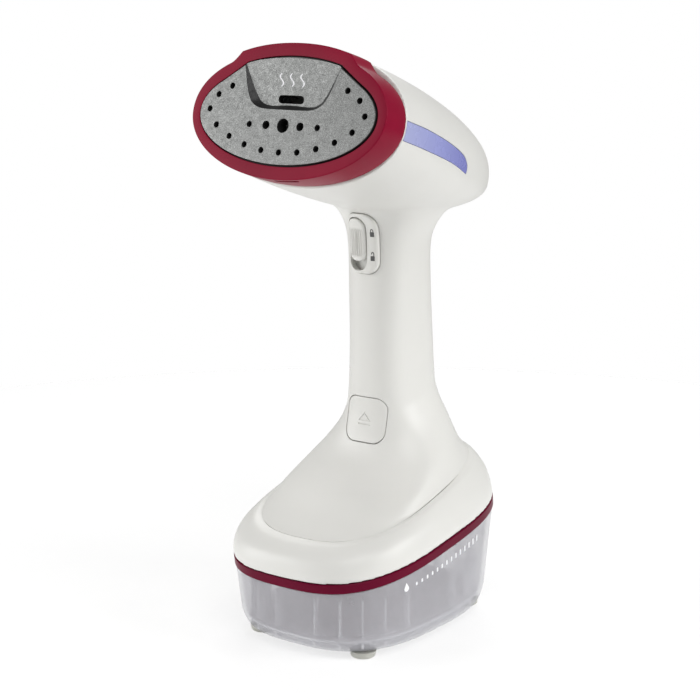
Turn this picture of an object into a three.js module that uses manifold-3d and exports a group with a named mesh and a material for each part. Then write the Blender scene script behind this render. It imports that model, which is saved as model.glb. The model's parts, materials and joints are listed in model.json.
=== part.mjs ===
// Handheld garment steamer: a wide steam head on an upright handle that stands on its own water tank.
// Millimetres, +Z up, the steam plate faces -Y. Every piece is one closed solid in its own mesh.
import * as THREE from 'three';
import { mergeVertices } from 'three/addons/utils/BufferGeometryUtils.js';
import { LoftGeometry } from 'three/addons/geometries/LoftGeometry.js';
import Module from 'manifold-3d';

const wasm = await Module();
wasm.setup();

// ---- driving dimensions ----
const GAP = 0.3;                 // clearance between neighbouring pieces
const WALL = 2.2;                // housing wall
const TANK_WALL = 1.8;
const RING_POINTS = 28;          // points round each lofted section
const OUTLINE_POINTS = 48;       // points round the steam plate and the bezel
const INNER_POINTS = 36;         // points round what lies behind the plate
const MID_Y = 8.4;               // the middle of the bounding box, moved onto Y = 0

const BASE_TILT = 8.83;          // the joint between housing and tank rises to the rear, degrees
const BASE_CENTRE = [0.4, 51.7]; // Y and Z of the middle of that joint
const BASE_HALF = 51.8;          // half width, front and rear reach of the joint outline
const BASE_FRONT = 71.9;
const BASE_REAR = 72.4;
const BASE_POWER = 2.95;
const BAND = 5;                  // height of the coloured collar on the tank

const HEAD_TILT = 15.8;          // the steam plate leans back by this angle, degrees
const PLATE_CENTRE = [-64.8, 256.7];
const PLATE_HALF = 50.8;         // steam plate outline
const PLATE_LOW = -18.5;
const PLATE_HIGH = 28.6;
const BEZEL_DEPTH = 16;
const CROWN_LIFT = 3.4;          // the raised middle of the plate's and the bezel's top edge
const CROWN_HALF = [26.5, 32];   // its half width at the plate's edge and at the bezel's outside
const CROWN_SLOPE = [14, 5];     // how far it takes to come down there
const CROWN_POWER = 1.6;
const SHOULDER_POWER = [2, 2.12]; // how full the outline's upper half is at the plate and the bezel

const FOOT_RADIUS = 6.6;
const FOOT_HEIGHT = 3.6;
const FOOT_PLACES = [[31, -45], [-31, -45], [31, 48], [-31, 48]];

const TRIGGER_TRAVEL = 2.5;

// ---- materials ----
const finish = (color, roughness, metalness = 0, opacity = 1) =>
  new THREE.MeshStandardMaterial({ color, roughness, metalness, opacity, transparent: opacity < 1 });
const WHITE = finish(0xe6e5e0, 0.4);
const SOFT_GREY = finish(0xc9c8c4, 0.5);
const CRIMSON = finish(0x8a1c38, 0.35);
const PLATE_GREY = finish(0x949695, 0.45, 0.3);
const ALUMINIUM = finish(0xb9bcc0, 0.4, 0.9);
const STEEL = finish(0x9fa3a8, 0.3, 1);
const COPPER = finish(0xb06a3a, 0.4, 0.9);
const BLACK = finish(0x262728, 0.5);
const RUBBER = finish(0x3a3b3d, 0.8);
const SILICONE = finish(0xd6d8da, 0.6, 0, 0.8);
const TANK = finish(0xc3c5ca, 0.35, 0, 0.55);
const LIGHT = finish(0xa6aee8, 0.3);
const BOARD = finish(0x1f6b45, 0.6);

// ---- frames: one on the tank joint, one on the steam plate ----
const steamer = new THREE.Group();
steamer.position.y = -MID_Y;
const base = new THREE.Group();
base.position.set(0, ...BASE_CENTRE);
base.rotation.x = THREE.MathUtils.degToRad(BASE_TILT);
const head = new THREE.Group();
head.position.set(0, ...PLATE_CENTRE);
head.rotation.x = Math.PI / 2 - THREE.MathUtils.degToRad(HEAD_TILT);
steamer.add(base, head);
base.updateMatrix();
head.updateMatrix();

function add(name, geometry, material, parent = steamer) {
  const mesh = new THREE.Mesh(geometry, material);
  mesh.name = name;
  parent.add(mesh);
  return mesh;
}

// ---- solids ----
function solid(geometry) {
  const bare = new THREE.BufferGeometry();
  bare.setAttribute('position', geometry.getAttribute('position').clone());
  bare.setIndex(geometry.index ? geometry.index.clone() : null);
  const merged = mergeVertices(bare, 1e-4);
  const corners = merged.index.array;
  const kept = [];
  for (let i = 0; i < corners.length; i += 3) {
    const [a, b, c] = corners.slice(i, i + 3);
    if (a !== b && b !== c && c !== a) kept.push(a, b, c);
  }
  return new wasm.Manifold(new wasm.Mesh({
    numProp: 3,
    vertProperties: new Float32Array(merged.getAttribute('position').array),
    triVerts: new Uint32Array(kept),
  }));
}

function geometryOf(manifold) {
  const mesh = manifold.getMesh();
  const geometry = new THREE.BufferGeometry();
  geometry.setAttribute('position', new THREE.BufferAttribute(mesh.vertProperties, 3));
  geometry.setIndex(new THREE.BufferAttribute(mesh.triVerts, 1));
  const flat = geometry.toNonIndexed();
  flat.computeVertexNormals();
  return flat;
}

const join = (first, ...rest) => rest.reduce((sum, g) => sum.add(solid(g)), solid(first));
const cut = (body, ...tools) => tools.reduce((left, g) => left.subtract(solid(g)), body);

function block(low, high) {
  const size = high.map((v, i) => v - low[i]);
  const middle = high.map((v, i) => (v + low[i]) / 2);
  return new THREE.BoxGeometry(...size).translate(...middle);
}

// A round bar from one point to another.
function rod(from, to, radius, endRadius = radius, sides = 16) {
  const a = new THREE.Vector3(...from);
  const b = new THREE.Vector3(...to);
  const along = b.clone().sub(a);
  const bar = new THREE.CylinderGeometry(endRadius, radius, along.length(), sides);
  const turn = new THREE.Quaternion()
    .setFromUnitVectors(new THREE.Vector3(0, 1, 0), along.clone().normalize());
  return bar.applyQuaternion(turn).translate(...a.add(b).multiplyScalar(0.5).toArray());
}

const pipe = (from, to, outer, inner, sides = 20) => cut(
  solid(rod(from, to, outer, outer, sides)),
  rod(...stretch(from, to, 1), inner, inner, sides),
);

// Both ends moved outwards by the given length.
function stretch(from, to, length) {
  const a = new THREE.Vector3(...from);
  const b = new THREE.Vector3(...to);
  const step = b.clone().sub(a).setLength(length);
  return [a.sub(step).toArray(), b.add(step).toArray()];
}

function tube(points, radius, steps = 28, sides = 10) {
  const path = new THREE.CatmullRomCurve3(points.map((p) => new THREE.Vector3(...p)));
  const section = new THREE.Shape();
  section.absarc(0, 0, radius, 0, 2 * Math.PI);
  return new THREE.ExtrudeGeometry(section, { steps, curveSegments: sides / 2, extrudePath: path });
}

function prism(points, depth) {
  const shape = new THREE.Shape(points.map(([x, y]) => new THREE.Vector2(x, y)));
  return new THREE.ExtrudeGeometry(shape, { depth, bevelEnabled: false });
}

// A rectangle with round corners, in the XY plane, centred on x, y.
function roundedOutline(x, y, halfWidth, halfHeight, corner, steps = 5) {
  const points = [];
  for (let quarter = 0; quarter < 4; quarter++) {
    const sx = quarter === 0 || quarter === 3 ? 1 : -1;
    const sy = quarter < 2 ? 1 : -1;
    for (let i = 0; i <= steps; i++) {
      const t = (quarter + i / steps) * Math.PI / 2;
      points.push([
        x + sx * (halfWidth - corner) + corner * Math.cos(t),
        y + sy * (halfHeight - corner) + corner * Math.sin(t),
      ]);
    }
  }
  return points;
}

// A screw with a pan head: the point at `tip`, the top of the head at `top`.
function screw(tip, top, radius, headRadius, headHeight = 1.8) {
  const a = new THREE.Vector3(...top);
  const neck = a.clone().sub(new THREE.Vector3(...tip)).setLength(headHeight);
  const under = a.clone().sub(neck).toArray();
  const overlap = a.clone().sub(neck.multiplyScalar(0.5)).toArray();
  const shank = rod(tip, overlap, radius * 0.8, radius, 8);
  return geometryOf(join(shank, rod(under, top, headRadius, headRadius * 0.85, 10)));
}

// ---- lofted shells ----
// A station is a closed section: front and rear points in the YZ plane, its half width, where along
// it is widest (0 front, 1 rear), and the power of its superellipse.
const station = (front, rear, half, power = BASE_POWER, widest = 0.5) =>
  ({ front, rear, half, power, widest });

function basePoint(along, up) {
  const t = THREE.MathUtils.degToRad(BASE_TILT);
  return [
    BASE_CENTRE[0] + along * Math.cos(t) - up * Math.sin(t),
    BASE_CENTRE[1] + along * Math.sin(t) + up * Math.cos(t),
  ];
}

const baseStation = (up, inset) =>
  station(basePoint(-BASE_FRONT + inset, up), basePoint(BASE_REAR - inset, up), BASE_HALF - inset);

const signedPower = (value, power) => Math.sign(value) * Math.abs(value) ** power;

function stationRing({ front, rear, half, power, widest }) {
  const points = [];
  for (let i = 0; i < RING_POINTS; i++) {
    const angle = 2 * Math.PI * i / RING_POINTS;
    const across = signedPower(Math.cos(angle), 2 / power);
    const along = signedPower(Math.sin(angle), 2 / power);
    const share = widest + along * (along < 0 ? widest : 1 - widest);
    points.push(new THREE.Vector3(
      half * across,
      THREE.MathUtils.lerp(front[0], rear[0], share),
      THREE.MathUtils.lerp(front[1], rear[1], share),
    ));
  }
  return points;
}

// The same station, smaller all round by the wall thickness.
function insetStation(s, wall) {
  const length = Math.hypot(s.rear[0] - s.front[0], s.rear[1] - s.front[1]);
  const step = s.rear.map((v, i) => (v - s.front[i]) * wall / length);
  return {
    ...s,
    front: s.front.map((v, i) => v + step[i]),
    rear: s.rear.map((v, i) => v - step[i]),
    half: s.half - wall,
  };
}

const loft = (rings) => new LoftGeometry(rings, { closed: true, capStart: true, capEnd: true });

const stationLoft = (stations) => loft(stations.map(stationRing));

// Handle and base: from the tank joint, over the brim and the dome, up the grip and into the head.
const BODY = [
  baseStation(0, 0),
  baseStation(5, 0.4),
  station(basePoint(-68.8, 10.5), basePoint(71.2, 13.5), 49.2, 2.9),
  station(basePoint(-61.5, 14.2), basePoint(67.5, 22), 44.8, 2.8),
  station([-55, 57], [60.5, 86.5], 42, 2.7, 0.45),
  station([-41, 65], [55.5, 92.5], 39.5, 2.6, 0.41),
  station([-25, 72.5], [52, 99], 36.5, 2.5, 0.4),
  station([-10.5, 82], [49, 106.5], 31.4, 2.5, 0.4),
  station([-3, 93], [46.6, 114], 25.3, 2.55, 0.43),
  station([-0.8, 104], [46, 121], 20.6, 2.6, 0.47),
  station([-0.2, 114], [46.2, 128], 18.5, 2.7),
  station([0, 140], [45.6, 146], 17.4, 2.7),
  station([0, 168], [43, 170], 17.6, 2.7),
  station([0, 192], [41.5, 190], 18.2, 2.7),
  station([-1.5, 204], [43, 199], 20.5, 2.6),
  station([-7, 213], [49, 207], 25, 2.5),
  station([-17, 221], [59, 214], 30, 2.4),
];

// A head section lies parallel to the steam plate: depth behind it, top, bottom and half width.
const headStation = (depth, top, bottom, half, widest, power) => [depth, top, bottom, half, widest, power];
const HEAD = [
  headStation(BEZEL_DEPTH + GAP, 38.7, -26, 56, 5.5, 2.1),
  headStation(40, 38.8, -27.2, 53.5, 4, 2.12),
  headStation(70, 37.2, -27, 49, 3, 2.15),
  headStation(100, 33.5, -23.2, 42.5, 2.5, 2.2),
  headStation(126, 27.8, -16.5, 34.5, 2, 2.2),
  headStation(143, 21.3, -10, 25, 1, 2.2),
  headStation(153, 14, -4.5, 15.5, 0.5, 2.2),
  headStation(157.7, 5, -0.5, 6, 0, 2.1),
];

function headRing([depth, top, bottom, half, widest, power]) {
  const points = [];
  for (let i = 0; i < RING_POINTS; i++) {
    const angle = 2 * Math.PI * i / RING_POINTS;
    const up = signedPower(Math.sin(angle), 2 / power);
    points.push(new THREE.Vector3(
      half * signedPower(Math.cos(angle), 2 / power),
      widest + up * (up > 0 ? top - widest : widest - bottom),
      -depth,
    ));
  }
  return points;
}

const insetHead = (rows, wall) => rows.map(([depth, top, bottom, half, widest, power]) =>
  [depth, top - wall, bottom + wall, half - wall, widest, power]);
const headLoft = (rows) => loft(rows.map(headRing).reverse());

// Head shapes are made in the head's own frame and moved into the steamer's.
const fromHead = (geometry) => geometry.applyMatrix4(head.matrix);

function headPoint(x, up, depth) {
  return new THREE.Vector3(x, up, -depth).applyMatrix4(head.matrix).toArray();
}

function basePlace(x, along, up) {
  return new THREE.Vector3(x, along, up).applyMatrix4(base.matrix).toArray();
}

// ---- outlines of the steam plate and of the parts that follow it ----
// An ellipse whose top edge steps up over its middle: grow is added all round.
function plateOutline(grow, points = OUTLINE_POINTS, low = PLATE_LOW, high = PLATE_HIGH, half = PLATE_HALF) {
  const middle = (low + high) / 2;
  const share = THREE.MathUtils.clamp(grow / BEZEL_GROW, 0, 1);
  const [crown, slope, power] = [CROWN_HALF, CROWN_SLOPE, SHOULDER_POWER]
    .map(([a, b]) => THREE.MathUtils.lerp(a, b, share));
  const outline = [];
  for (let i = 0; i < points; i++) {
    const angle = 2 * Math.PI * i / points;
    const fullness = angle < Math.PI ? 2 / power : 1;
    const x = (half + grow) * signedPower(Math.cos(angle), fullness);
    const y = ((high - low) / 2 + grow) * signedPower(Math.sin(angle), fullness);
    const down = THREE.MathUtils.clamp((Math.abs(x) - crown) / slope, 0, 1);
    const lift = y > 0 ? CROWN_LIFT * (1 - down) ** CROWN_POWER : 0;
    outline.push([x, middle + y + lift]);
  }
  return outline;
}

// A slab of an outline in the head frame, from one depth to a deeper one.
const headSlab = (outline, from, to) => prism(outline, to - from).translate(0, 0, -to);

// ---- the steam head's front ----
const BEZEL_GROW = 5.4;
const RIM_EXTRA = 1.4;
const BEZEL_SIDES = [
  { depth: 0, grow: 4.9 },
  { depth: 1.2, grow: BEZEL_GROW },
  { depth: 9, grow: 5.6 },
  { depth: BEZEL_DEPTH, grow: 5.3 },
];

// The bezel's rim is a little taller above and below the plate than at its sides.
const bezelOutline = (grow) =>
  plateOutline(grow, OUTLINE_POINTS, PLATE_LOW - RIM_EXTRA, PLATE_HIGH + RIM_EXTRA);
const bezelRing = (depth, grow) => bezelOutline(grow).map(([x, y]) => new THREE.Vector3(x, y, -depth));

function makeBezel() {
  const wall = 2.4;
  const face = 3;
  const outside = loft([...BEZEL_SIDES].reverse().map(({ depth, grow }) => bezelRing(depth, grow)));
  const inside = headSlab(bezelOutline(BEZEL_GROW - wall), face, BEZEL_DEPTH + 1);
  const window = headSlab(plateOutline(GAP), -1, face + 1);
  return geometryOf(cut(solid(outside), inside, window));
}

const STEAM_HOLES = [
  [33.5, 17.3], [40.9, 13], [45, 6], [39.5, -1.5], [30.7, -6.5], [20.9, -10], [10.5, -12.1],
];
const INNER_HOLES = [[19.8, -0.3], [9.9, -0.3]];

function mirrored(list) {
  return [...list, ...list.map(([x, y]) => [-x, y])];
}

// The scoop above the holes: flush at its top corners and deepest along its lower edge.
function plateScoop() {
  const right = [[14, 8.2], [19, 10.2], [22, 13.4], [25.3, 20.5], [27.6, 27.5], [27.6, 40]];
  const outline = [...right, ...right.map(([x, y]) => [-x, y]).reverse()];
  const scoop = prism(outline, 12);
  const lean = THREE.MathUtils.degToRad(9);
  return scoop.translate(0, -31, 0).rotateX(lean).translate(0, 31, 0);
}

function makePlate() {
  const proud = -0.8;
  const flangeTop = 3 + GAP;
  const body = solid(headSlab(plateOutline(0), proud, 5.3));
  const flange = solid(headSlab(plateOutline(2), flangeTop, 5.3));
  const holes = [
    ...mirrored(STEAM_HOLES).map(([x, y]) => [x, y, 1.25]),
    ...mirrored(INNER_HOLES).map(([x, y], i) => [x, y, i % 2 ? 1.75 : 1.25]),
    [0, -12.7, 1.25],
    [0, -0.2, 3.2],
  ].map(([x, y, r]) => rod([x, y, -8], [x, y, 4], r, r, 8));
  const slot = headSlab(roundedOutline(0.2, 12.6, 7.4, 1.9, 1.8, 3), -4, 8);
  return geometryOf(cut(body.add(flange), plateScoop().translate(0, 0, -proud), ...holes, slot));
}

function makeHeadFront() {
  add('head_bezel', makeBezel(), CRIMSON, head);
  add('steam_plate', makePlate(), PLATE_GREY, head);
  const ring = headSlab(plateOutline(1.2, INNER_POINTS), 5.6, 7.4);
  const seal = cut(solid(ring), headSlab(plateOutline(-2.4, INNER_POINTS), 5, 8));
  add('plate_seal', geometryOf(seal), SILICONE, head);
}

// ---- inside the head ----
const CHAMBER_BACK = 24;

function makeChamber() {
  const cup = cut(
    solid(headSlab(plateOutline(0.4, INNER_POINTS), 7.7, CHAMBER_BACK)),
    headSlab(plateOutline(-3.4, INNER_POINTS), 7, CHAMBER_BACK - 4),
    rod([0, 14, -CHAMBER_BACK - 1], [0, 14, -CHAMBER_BACK + 5], 2, 2, 12),
  );
  const baffles = [-1, 1].flatMap((side) => [12, 26].map((x, i) =>
    block([side * x - 1.2, i ? -9 : -14, -CHAMBER_BACK + 3.5], [side * x + 1.2, i ? 26 : 20, -9])));
  add('steam_chamber', geometryOf(baffles.reduce((sum, b) => sum.add(solid(b)), cup)), ALUMINIUM, head);

  const rest = -CHAMBER_BACK - GAP - 3.2;
  const bend = [[-30, -3], [-30, 10], [-22, 19], [0, 22.5], [22, 19], [30, 10], [30, -3]];
  const leg = [[-12, -9, rest - 14], [-20, -9, rest - 6], [-26, -8, rest]];
  const otherLeg = leg.map(([x, y, z]) => [-x, y, z]).reverse();
  const legs = [...leg, ...bend.map(([x, y]) => [x, y, rest]), ...otherLeg];
  add('heating_element', tube(legs, 3, 24, 8), STEEL, head);
  const back = -CHAMBER_BACK - GAP;
  add('water_inlet', geometryOf(cut(
    join(rod([0, 14, back], [0, 14, back - 2], 4.8), rod([0, 14, back - 1], [0, 14, back - 12], 3.2)),
    rod([0, 14, back + 1], [0, 14, back - 13], 1.8, 1.8, 12),
  )), STEEL, head);
  add('thermostat', geometryOf(join(
    rod([-13, 1, back], [-13, 1, back - 5], 8),
    block([-20, -1, back - 9], [-18, 3, back - 3]),
    block([-8, -1, back - 9], [-6, 3, back - 3]),
  )), STEEL, head);
  add('thermal_fuse', geometryOf(join(
    rod([8, 1, back - 2.4], [20, 1, back - 2.4], 2.2, 2.2, 14),
    block([11, -1.6, back - 3.5], [17, 3.6, back - 0.2]),
  )), COPPER, head);
}

// ---- light strips in the sides of the head ----
// Side outline in depth and height; the strip narrows to a leaning tip.
const STRIP = [
  [17.5, -0.4], [17.5, 8.4], [38, 8.7], [60, 7.9], [78, 6.2], [86, 4.1], [90, 0.8], [90.6, -2.2],
  [70, -0.6], [40, -0.3],
];

function stripPrism(side, grow) {
  const middle = [54, 4.6];
  const outline = STRIP.map(([d, v]) => [
    d + Math.sign(d - middle[0]) * grow,
    v + Math.sign(v - (middle[1] - (d - middle[0]) * 0.1)) * grow,
  ]);
  const backwards = new THREE.Matrix4().makeBasis(
    new THREE.Vector3(0, 0, -1), new THREE.Vector3(0, 1, 0), new THREE.Vector3(1, 0, 0));
  return prism(outline, 40).applyMatrix4(backwards).translate(side > 0 ? 24 : -64, 0, 0);
}

function makeLights() {
  const shell = solid(headLoft(HEAD)).subtract(solid(headLoft(insetHead(HEAD, WALL))));
  for (const [name, side] of [['left', -1], ['right', 1]]) {
    add(`light_strip_${name}`, geometryOf(shell.intersect(solid(stripPrism(side, 0)))), LIGHT, head);
    const board = block([side * 33 - 0.8, -1, -84], [side * 33 + 0.8, 7, -44]);
    add(`led_board_${name}`, board, BOARD, head);
  }
}

// ---- housing and rear cover ----
const COVER = { halfWidth: 12.5, low: 112, high: 186, corner: 8 };

function coverPrism(grow) {
  const { halfWidth, low, high, corner } = COVER;
  const half = [halfWidth + grow, (high - low) / 2 + grow];
  const outline = roundedOutline(0, (low + high) / 2, ...half, corner + grow, 4);
  return prism(outline, 45).rotateX(Math.PI / 2).translate(0, 75, 0);
}

const COVER_SCREWS = [{ z: 126, y: 46.8 }, { z: 172, y: 42.9 }];
const PANEL = { x: -1, z: 194.6, halfWidth: 9, halfHeight: 15.2, corner: 6.6 };
const TRIGGER = { x: -3.2, z: 196.5, halfWidth: 4.9, halfHeight: 10.8, corner: 4.4 };
const POCKET = { x: -3.2, z: 194.4, halfWidth: 5.4, halfHeight: 13.5, corner: 4.9 };
const RELEASE = { z: 105, halfWidth: 11.8, halfHeight: 11.3, corner: 6 };
const BASE_SCREWS = [[32, -43], [-32, -43], [34, 42], [-34, 42]];
const GLAND = { z: 72, radius: 5.2, bore: 3.4, from: 60, to: 78, collar: 72 };

// A bar along Y with the outline of a front control.
function frontPrism({ x = 0, z, halfWidth, halfHeight, corner }, grow = 0, from = -25, to = 14) {
  const outline = roundedOutline(x, z, halfWidth + grow, halfHeight + grow, corner + grow, 4);
  return prism(outline, to - from).rotateX(Math.PI / 2).translate(0, to, 0);
}

const GRIP = BODY.slice(7);
const gripSkin = (grow) => solid(stationLoft(GRIP.map((s) => insetStation(s, -grow))));

// A piece with a control's outline that follows the grip, from one offset of its surface to another.
const frontPiece = (outline, inner, outer) =>
  gripSkin(outer).intersect(solid(frontPrism(outline))).subtract(gripSkin(inner));

const outerBody = () => solid(stationLoft(BODY)).add(solid(fromHead(headLoft(HEAD))));

function innerBody() {
  const dome = [2, 10];
  const cavity = BODY.map((s, i) => {
    const inner = insetStation(s, WALL);
    const drop = i >= dome[0] && i < dome[1] ? WALL : 0;
    const lower = ([y, z]) => [y, z - drop];
    return { ...inner, front: lower(inner.front), rear: lower(inner.rear) };
  });
  const rows = [headStation(BEZEL_DEPTH - 2, ...HEAD[0].slice(1)), ...HEAD.slice(1, -1)];
  const below = insetStation(baseStation(-2, 0), WALL);
  return solid(stationLoft([below, ...cavity])).add(solid(fromHead(headLoft(insetHead(rows, WALL)))));
}

function makeHousing() {
  const outer = outerBody();
  const shell = outer.subtract(innerBody());
  const postAt = ([x, along], from, to, radius) =>
    rod(basePlace(x, along, from), basePlace(x, along, to), radius, radius, 12);
  const posts = join(...BASE_SCREWS.map((place) => postAt(place, 3.4, 45, 3.8))).intersect(outer);
  const postHoles = BASE_SCREWS.map((place) => postAt(place, 2, 13, 1.8));
  const openings = [
    coverPrism(GAP),
    frontPrism(PANEL, GAP),
    frontPrism(RELEASE, GAP),
    fromHead(stripPrism(1, GAP)),
    fromHead(stripPrism(-1, GAP)),
    rod([0, GLAND.from, GLAND.z], [0, 90, GLAND.z], GLAND.radius + GAP),
  ];
  add('main_housing', geometryOf(cut(shell.add(posts), ...openings, ...postHoles)), WHITE);
  const coverHoles = COVER_SCREWS.flatMap(({ y, z }) => [
    rod([0, y - 10, z], [0, y + 5, z], 1.9, 1.9, 12),
    rod([0, y - 1.2, z], [0, y + 5, z], 3.4, 3.4, 16),
  ]);
  const cover = outer.subtract(innerBody()).intersect(solid(coverPrism(0)));
  add('rear_cover', geometryOf(cut(cover, ...coverHoles)), WHITE);
  COVER_SCREWS.forEach(({ y, z }, i) => {
    add(`cover_screw_${i + 1}`, screw([0, y - 13, z], [0, y + 0.9, z], 1.5, 3), STEEL);
  });
  add('cord_gland', geometryOf(cut(
    join(rod([0, GLAND.from, GLAND.z], [0, GLAND.to, GLAND.z], GLAND.radius, GLAND.radius - 0.6),
      rod([0, GLAND.collar, GLAND.z], [0, GLAND.collar + 2, GLAND.z], GLAND.radius + 2)),
    rod([0, GLAND.from - 1, GLAND.z], [0, GLAND.to + 1, GLAND.z], GLAND.bore),
  )), RUBBER);
}

// ---- controls on the grip ----
const CARRIAGE = [6.5, 8.5];     // the lock slide's plate, front and back
const STEM_END = 11;

function makeControls() {
  const panel = frontPiece(PANEL, -1.8, 1.2);
  add('switch_panel', geometryOf(panel.subtract(solid(frontPrism(POCKET)))), WHITE);
  const { x, z } = TRIGGER;
  const stem = rod([x, -2, z], [x, STEM_END, z], 2.2, 2.2, 12);
  add('steam_trigger', geometryOf(frontPiece(TRIGGER, -1.4, 3).add(solid(stem))), WHITE);
  add('lock_slide', geometryOf(cut(
    solid(block([x - 8, CARRIAGE[0], z - 12], [x + 8, CARRIAGE[1], z + 9])),
    rod([x, 0, z], [x, 20, z], 2.2 + GAP, 2.2 + GAP, 12),
  )), SOFT_GREY);
  add('trigger_spring', geometryOf(pipe([x, 2.9, z], [x, CARRIAGE[0] - GAP, z], 3.4, 2.6, 14)), STEEL);
  const back = STEM_END + TRIGGER_TRAVEL + GAP;
  add('micro_switch', geometryOf(join(
    block([-6, back, 185], [4, back + 5.5, 202]),
    ...[188, 193, 198].map((pin) => block([-2, back + 5, pin - 0.8], [-1.4, back + 8, pin + 0.8])),
  )), BLACK);
}

// ---- tank release: button, latch bar and spring ----
const LATCH = { low: 43, high: 110, front: 6, back: 8.4, halfWidth: 5 };

function makeRelease() {
  const { low, high, front, back, halfWidth } = LATCH;
  const stem = rod([0, -1.5, RELEASE.z], [0, front - GAP, RELEASE.z], 3, 3, 14);
  add('release_button', geometryOf(frontPiece(RELEASE, -WALL, 0).add(solid(stem))), WHITE);
  add('tank_latch', geometryOf(join(
    block([-halfWidth, front, low], [halfWidth, back, high]),
    block([-halfWidth, front - 2.6, low], [halfWidth, front + 0.5, low + 2.4]),
  )), SOFT_GREY);
  const spring = pipe([0, back + GAP, 100], [0, CHASSIS.front - GAP, 100], 3, 2.2, 14);
  add('release_spring', geometryOf(spring), STEEL);
}

// ---- inside the grip ----
const CHASSIS = { front: 20.3, back: 22.3, halfWidth: 11, low: 92, high: 182 };

function makeGripInside() {
  const { front, back, halfWidth, low, high } = CHASSIS;
  const bosses = COVER_SCREWS.map(({ y, z }) => rod([0, back - 1, z], [0, y - 3.2, z], 3.6, 3.2, 16));
  const holes = COVER_SCREWS.map(({ y, z }) => rod([0, y - 14.5, z], [0, y, z], 1.8, 1.8, 12));
  add('inner_chassis', geometryOf(cut(
    join(block([-halfWidth, front, low], [halfWidth, back, high]), ...bosses), ...holes)), SOFT_GREY);
  const hose = [
    [0, PUMP.outlet, PUMP.z + 12.8], [0, PUMP.outlet, 91], [-4, 43, 100], [-7, 37, 110],
    [-8, 33, 124], [-8, 31, 150], [-8, 31, 185], [-6, 22, 206],
    headPoint(-2, 2, 62), headPoint(0, 13, 46), headPoint(0, 14, CHAMBER_BACK + 13),
  ];
  add('steam_hose', tube(hose, 2.6, 28, 8), SILICONE);
  const cable = [
    [18, 30, 68], [18, 31, 84], [11, 34, 100], [8, 33, 116], [8, 31, 150], [8, 31, 185],
    [8, 20, 206], headPoint(14, -8, 66), headPoint(17, -8, 52), headPoint(16, -9, 46),
  ];
  add('heater_cable', tube(cable, 2.2, 26, 8), BLACK);
}

// ---- pump in the base ----
const PUMP = { z: 76, from: 13.5, to: 54.5, coil: [22, 44], inlet: 18, outlet: 48, frame: 13.4 };

function makePump() {
  const { z, from, to, coil } = PUMP;
  const at = (y, up = 0, x = 0) => [x, y, z + up];
  const body = cut(
    join(
      rod(at(from), at(to), 6),
      rod(at(PUMP.inlet), [-12, PUMP.inlet, z], 2.6),
      rod(at(PUMP.outlet), at(PUMP.outlet, 12), 2.6),
    ),
    rod(at(from + 1.5), at(to + 1), 3.4),
    rod(at(PUMP.inlet), [-14, PUMP.inlet, z], 1.4, 1.4, 10),
    rod(at(PUMP.outlet), at(PUMP.outlet, 14), 1.4, 1.4, 10),
  );
  add('pump_body', geometryOf(body), SOFT_GREY);
  add('pump_coil', geometryOf(pipe(at(coil[0] + 2.3), at(coil[1] - 2.3), 11.5, 6 + GAP, 24)), COPPER);
  const frame = cut(
    solid(block([-13, coil[0], z - PUMP.frame], [13, coil[1], z + 12.4])),
    block([-14, coil[0] + 2, z - PUMP.frame + 1.5], [14, coil[1] - 2, z + 14]),
    rod(at(coil[0] - 1), at(coil[1] + 1), 6 + GAP),
  );
  add('pump_frame', geometryOf(frame), STEEL);
  // The iron of the plunger rests ahead of the coil's middle, so that the coil pulls it onto the spring.
  const iron = [coil[0] - 1, coil[1] - 3];
  const plunger = join(rod(at(iron[0]), at(iron[1]), 3.1), rod(at(from + 4), at(iron[0] + 1), 1.6, 1.6, 12));
  add('pump_plunger', geometryOf(plunger), STEEL);
  add('pump_spring', geometryOf(pipe(at(iron[1] + GAP), at(to - 3), 2.9, 2.2, 12)), STEEL);
  const cap = join(rod(at(to - 2.6), at(to + 1.6), 3.1), rod(at(to + GAP), at(to + 1.8), 6));
  add('pump_cap', geometryOf(cap), SOFT_GREY);
}

// ---- floor of the housing ----
const SOCKET = [-19, 20];

const ringAt = (up, inset) => stationRing(baseStation(up, inset));
const baseSlab = (low, high, inset) => loft([ringAt(low, inset), ringAt(high, inset)]);

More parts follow.
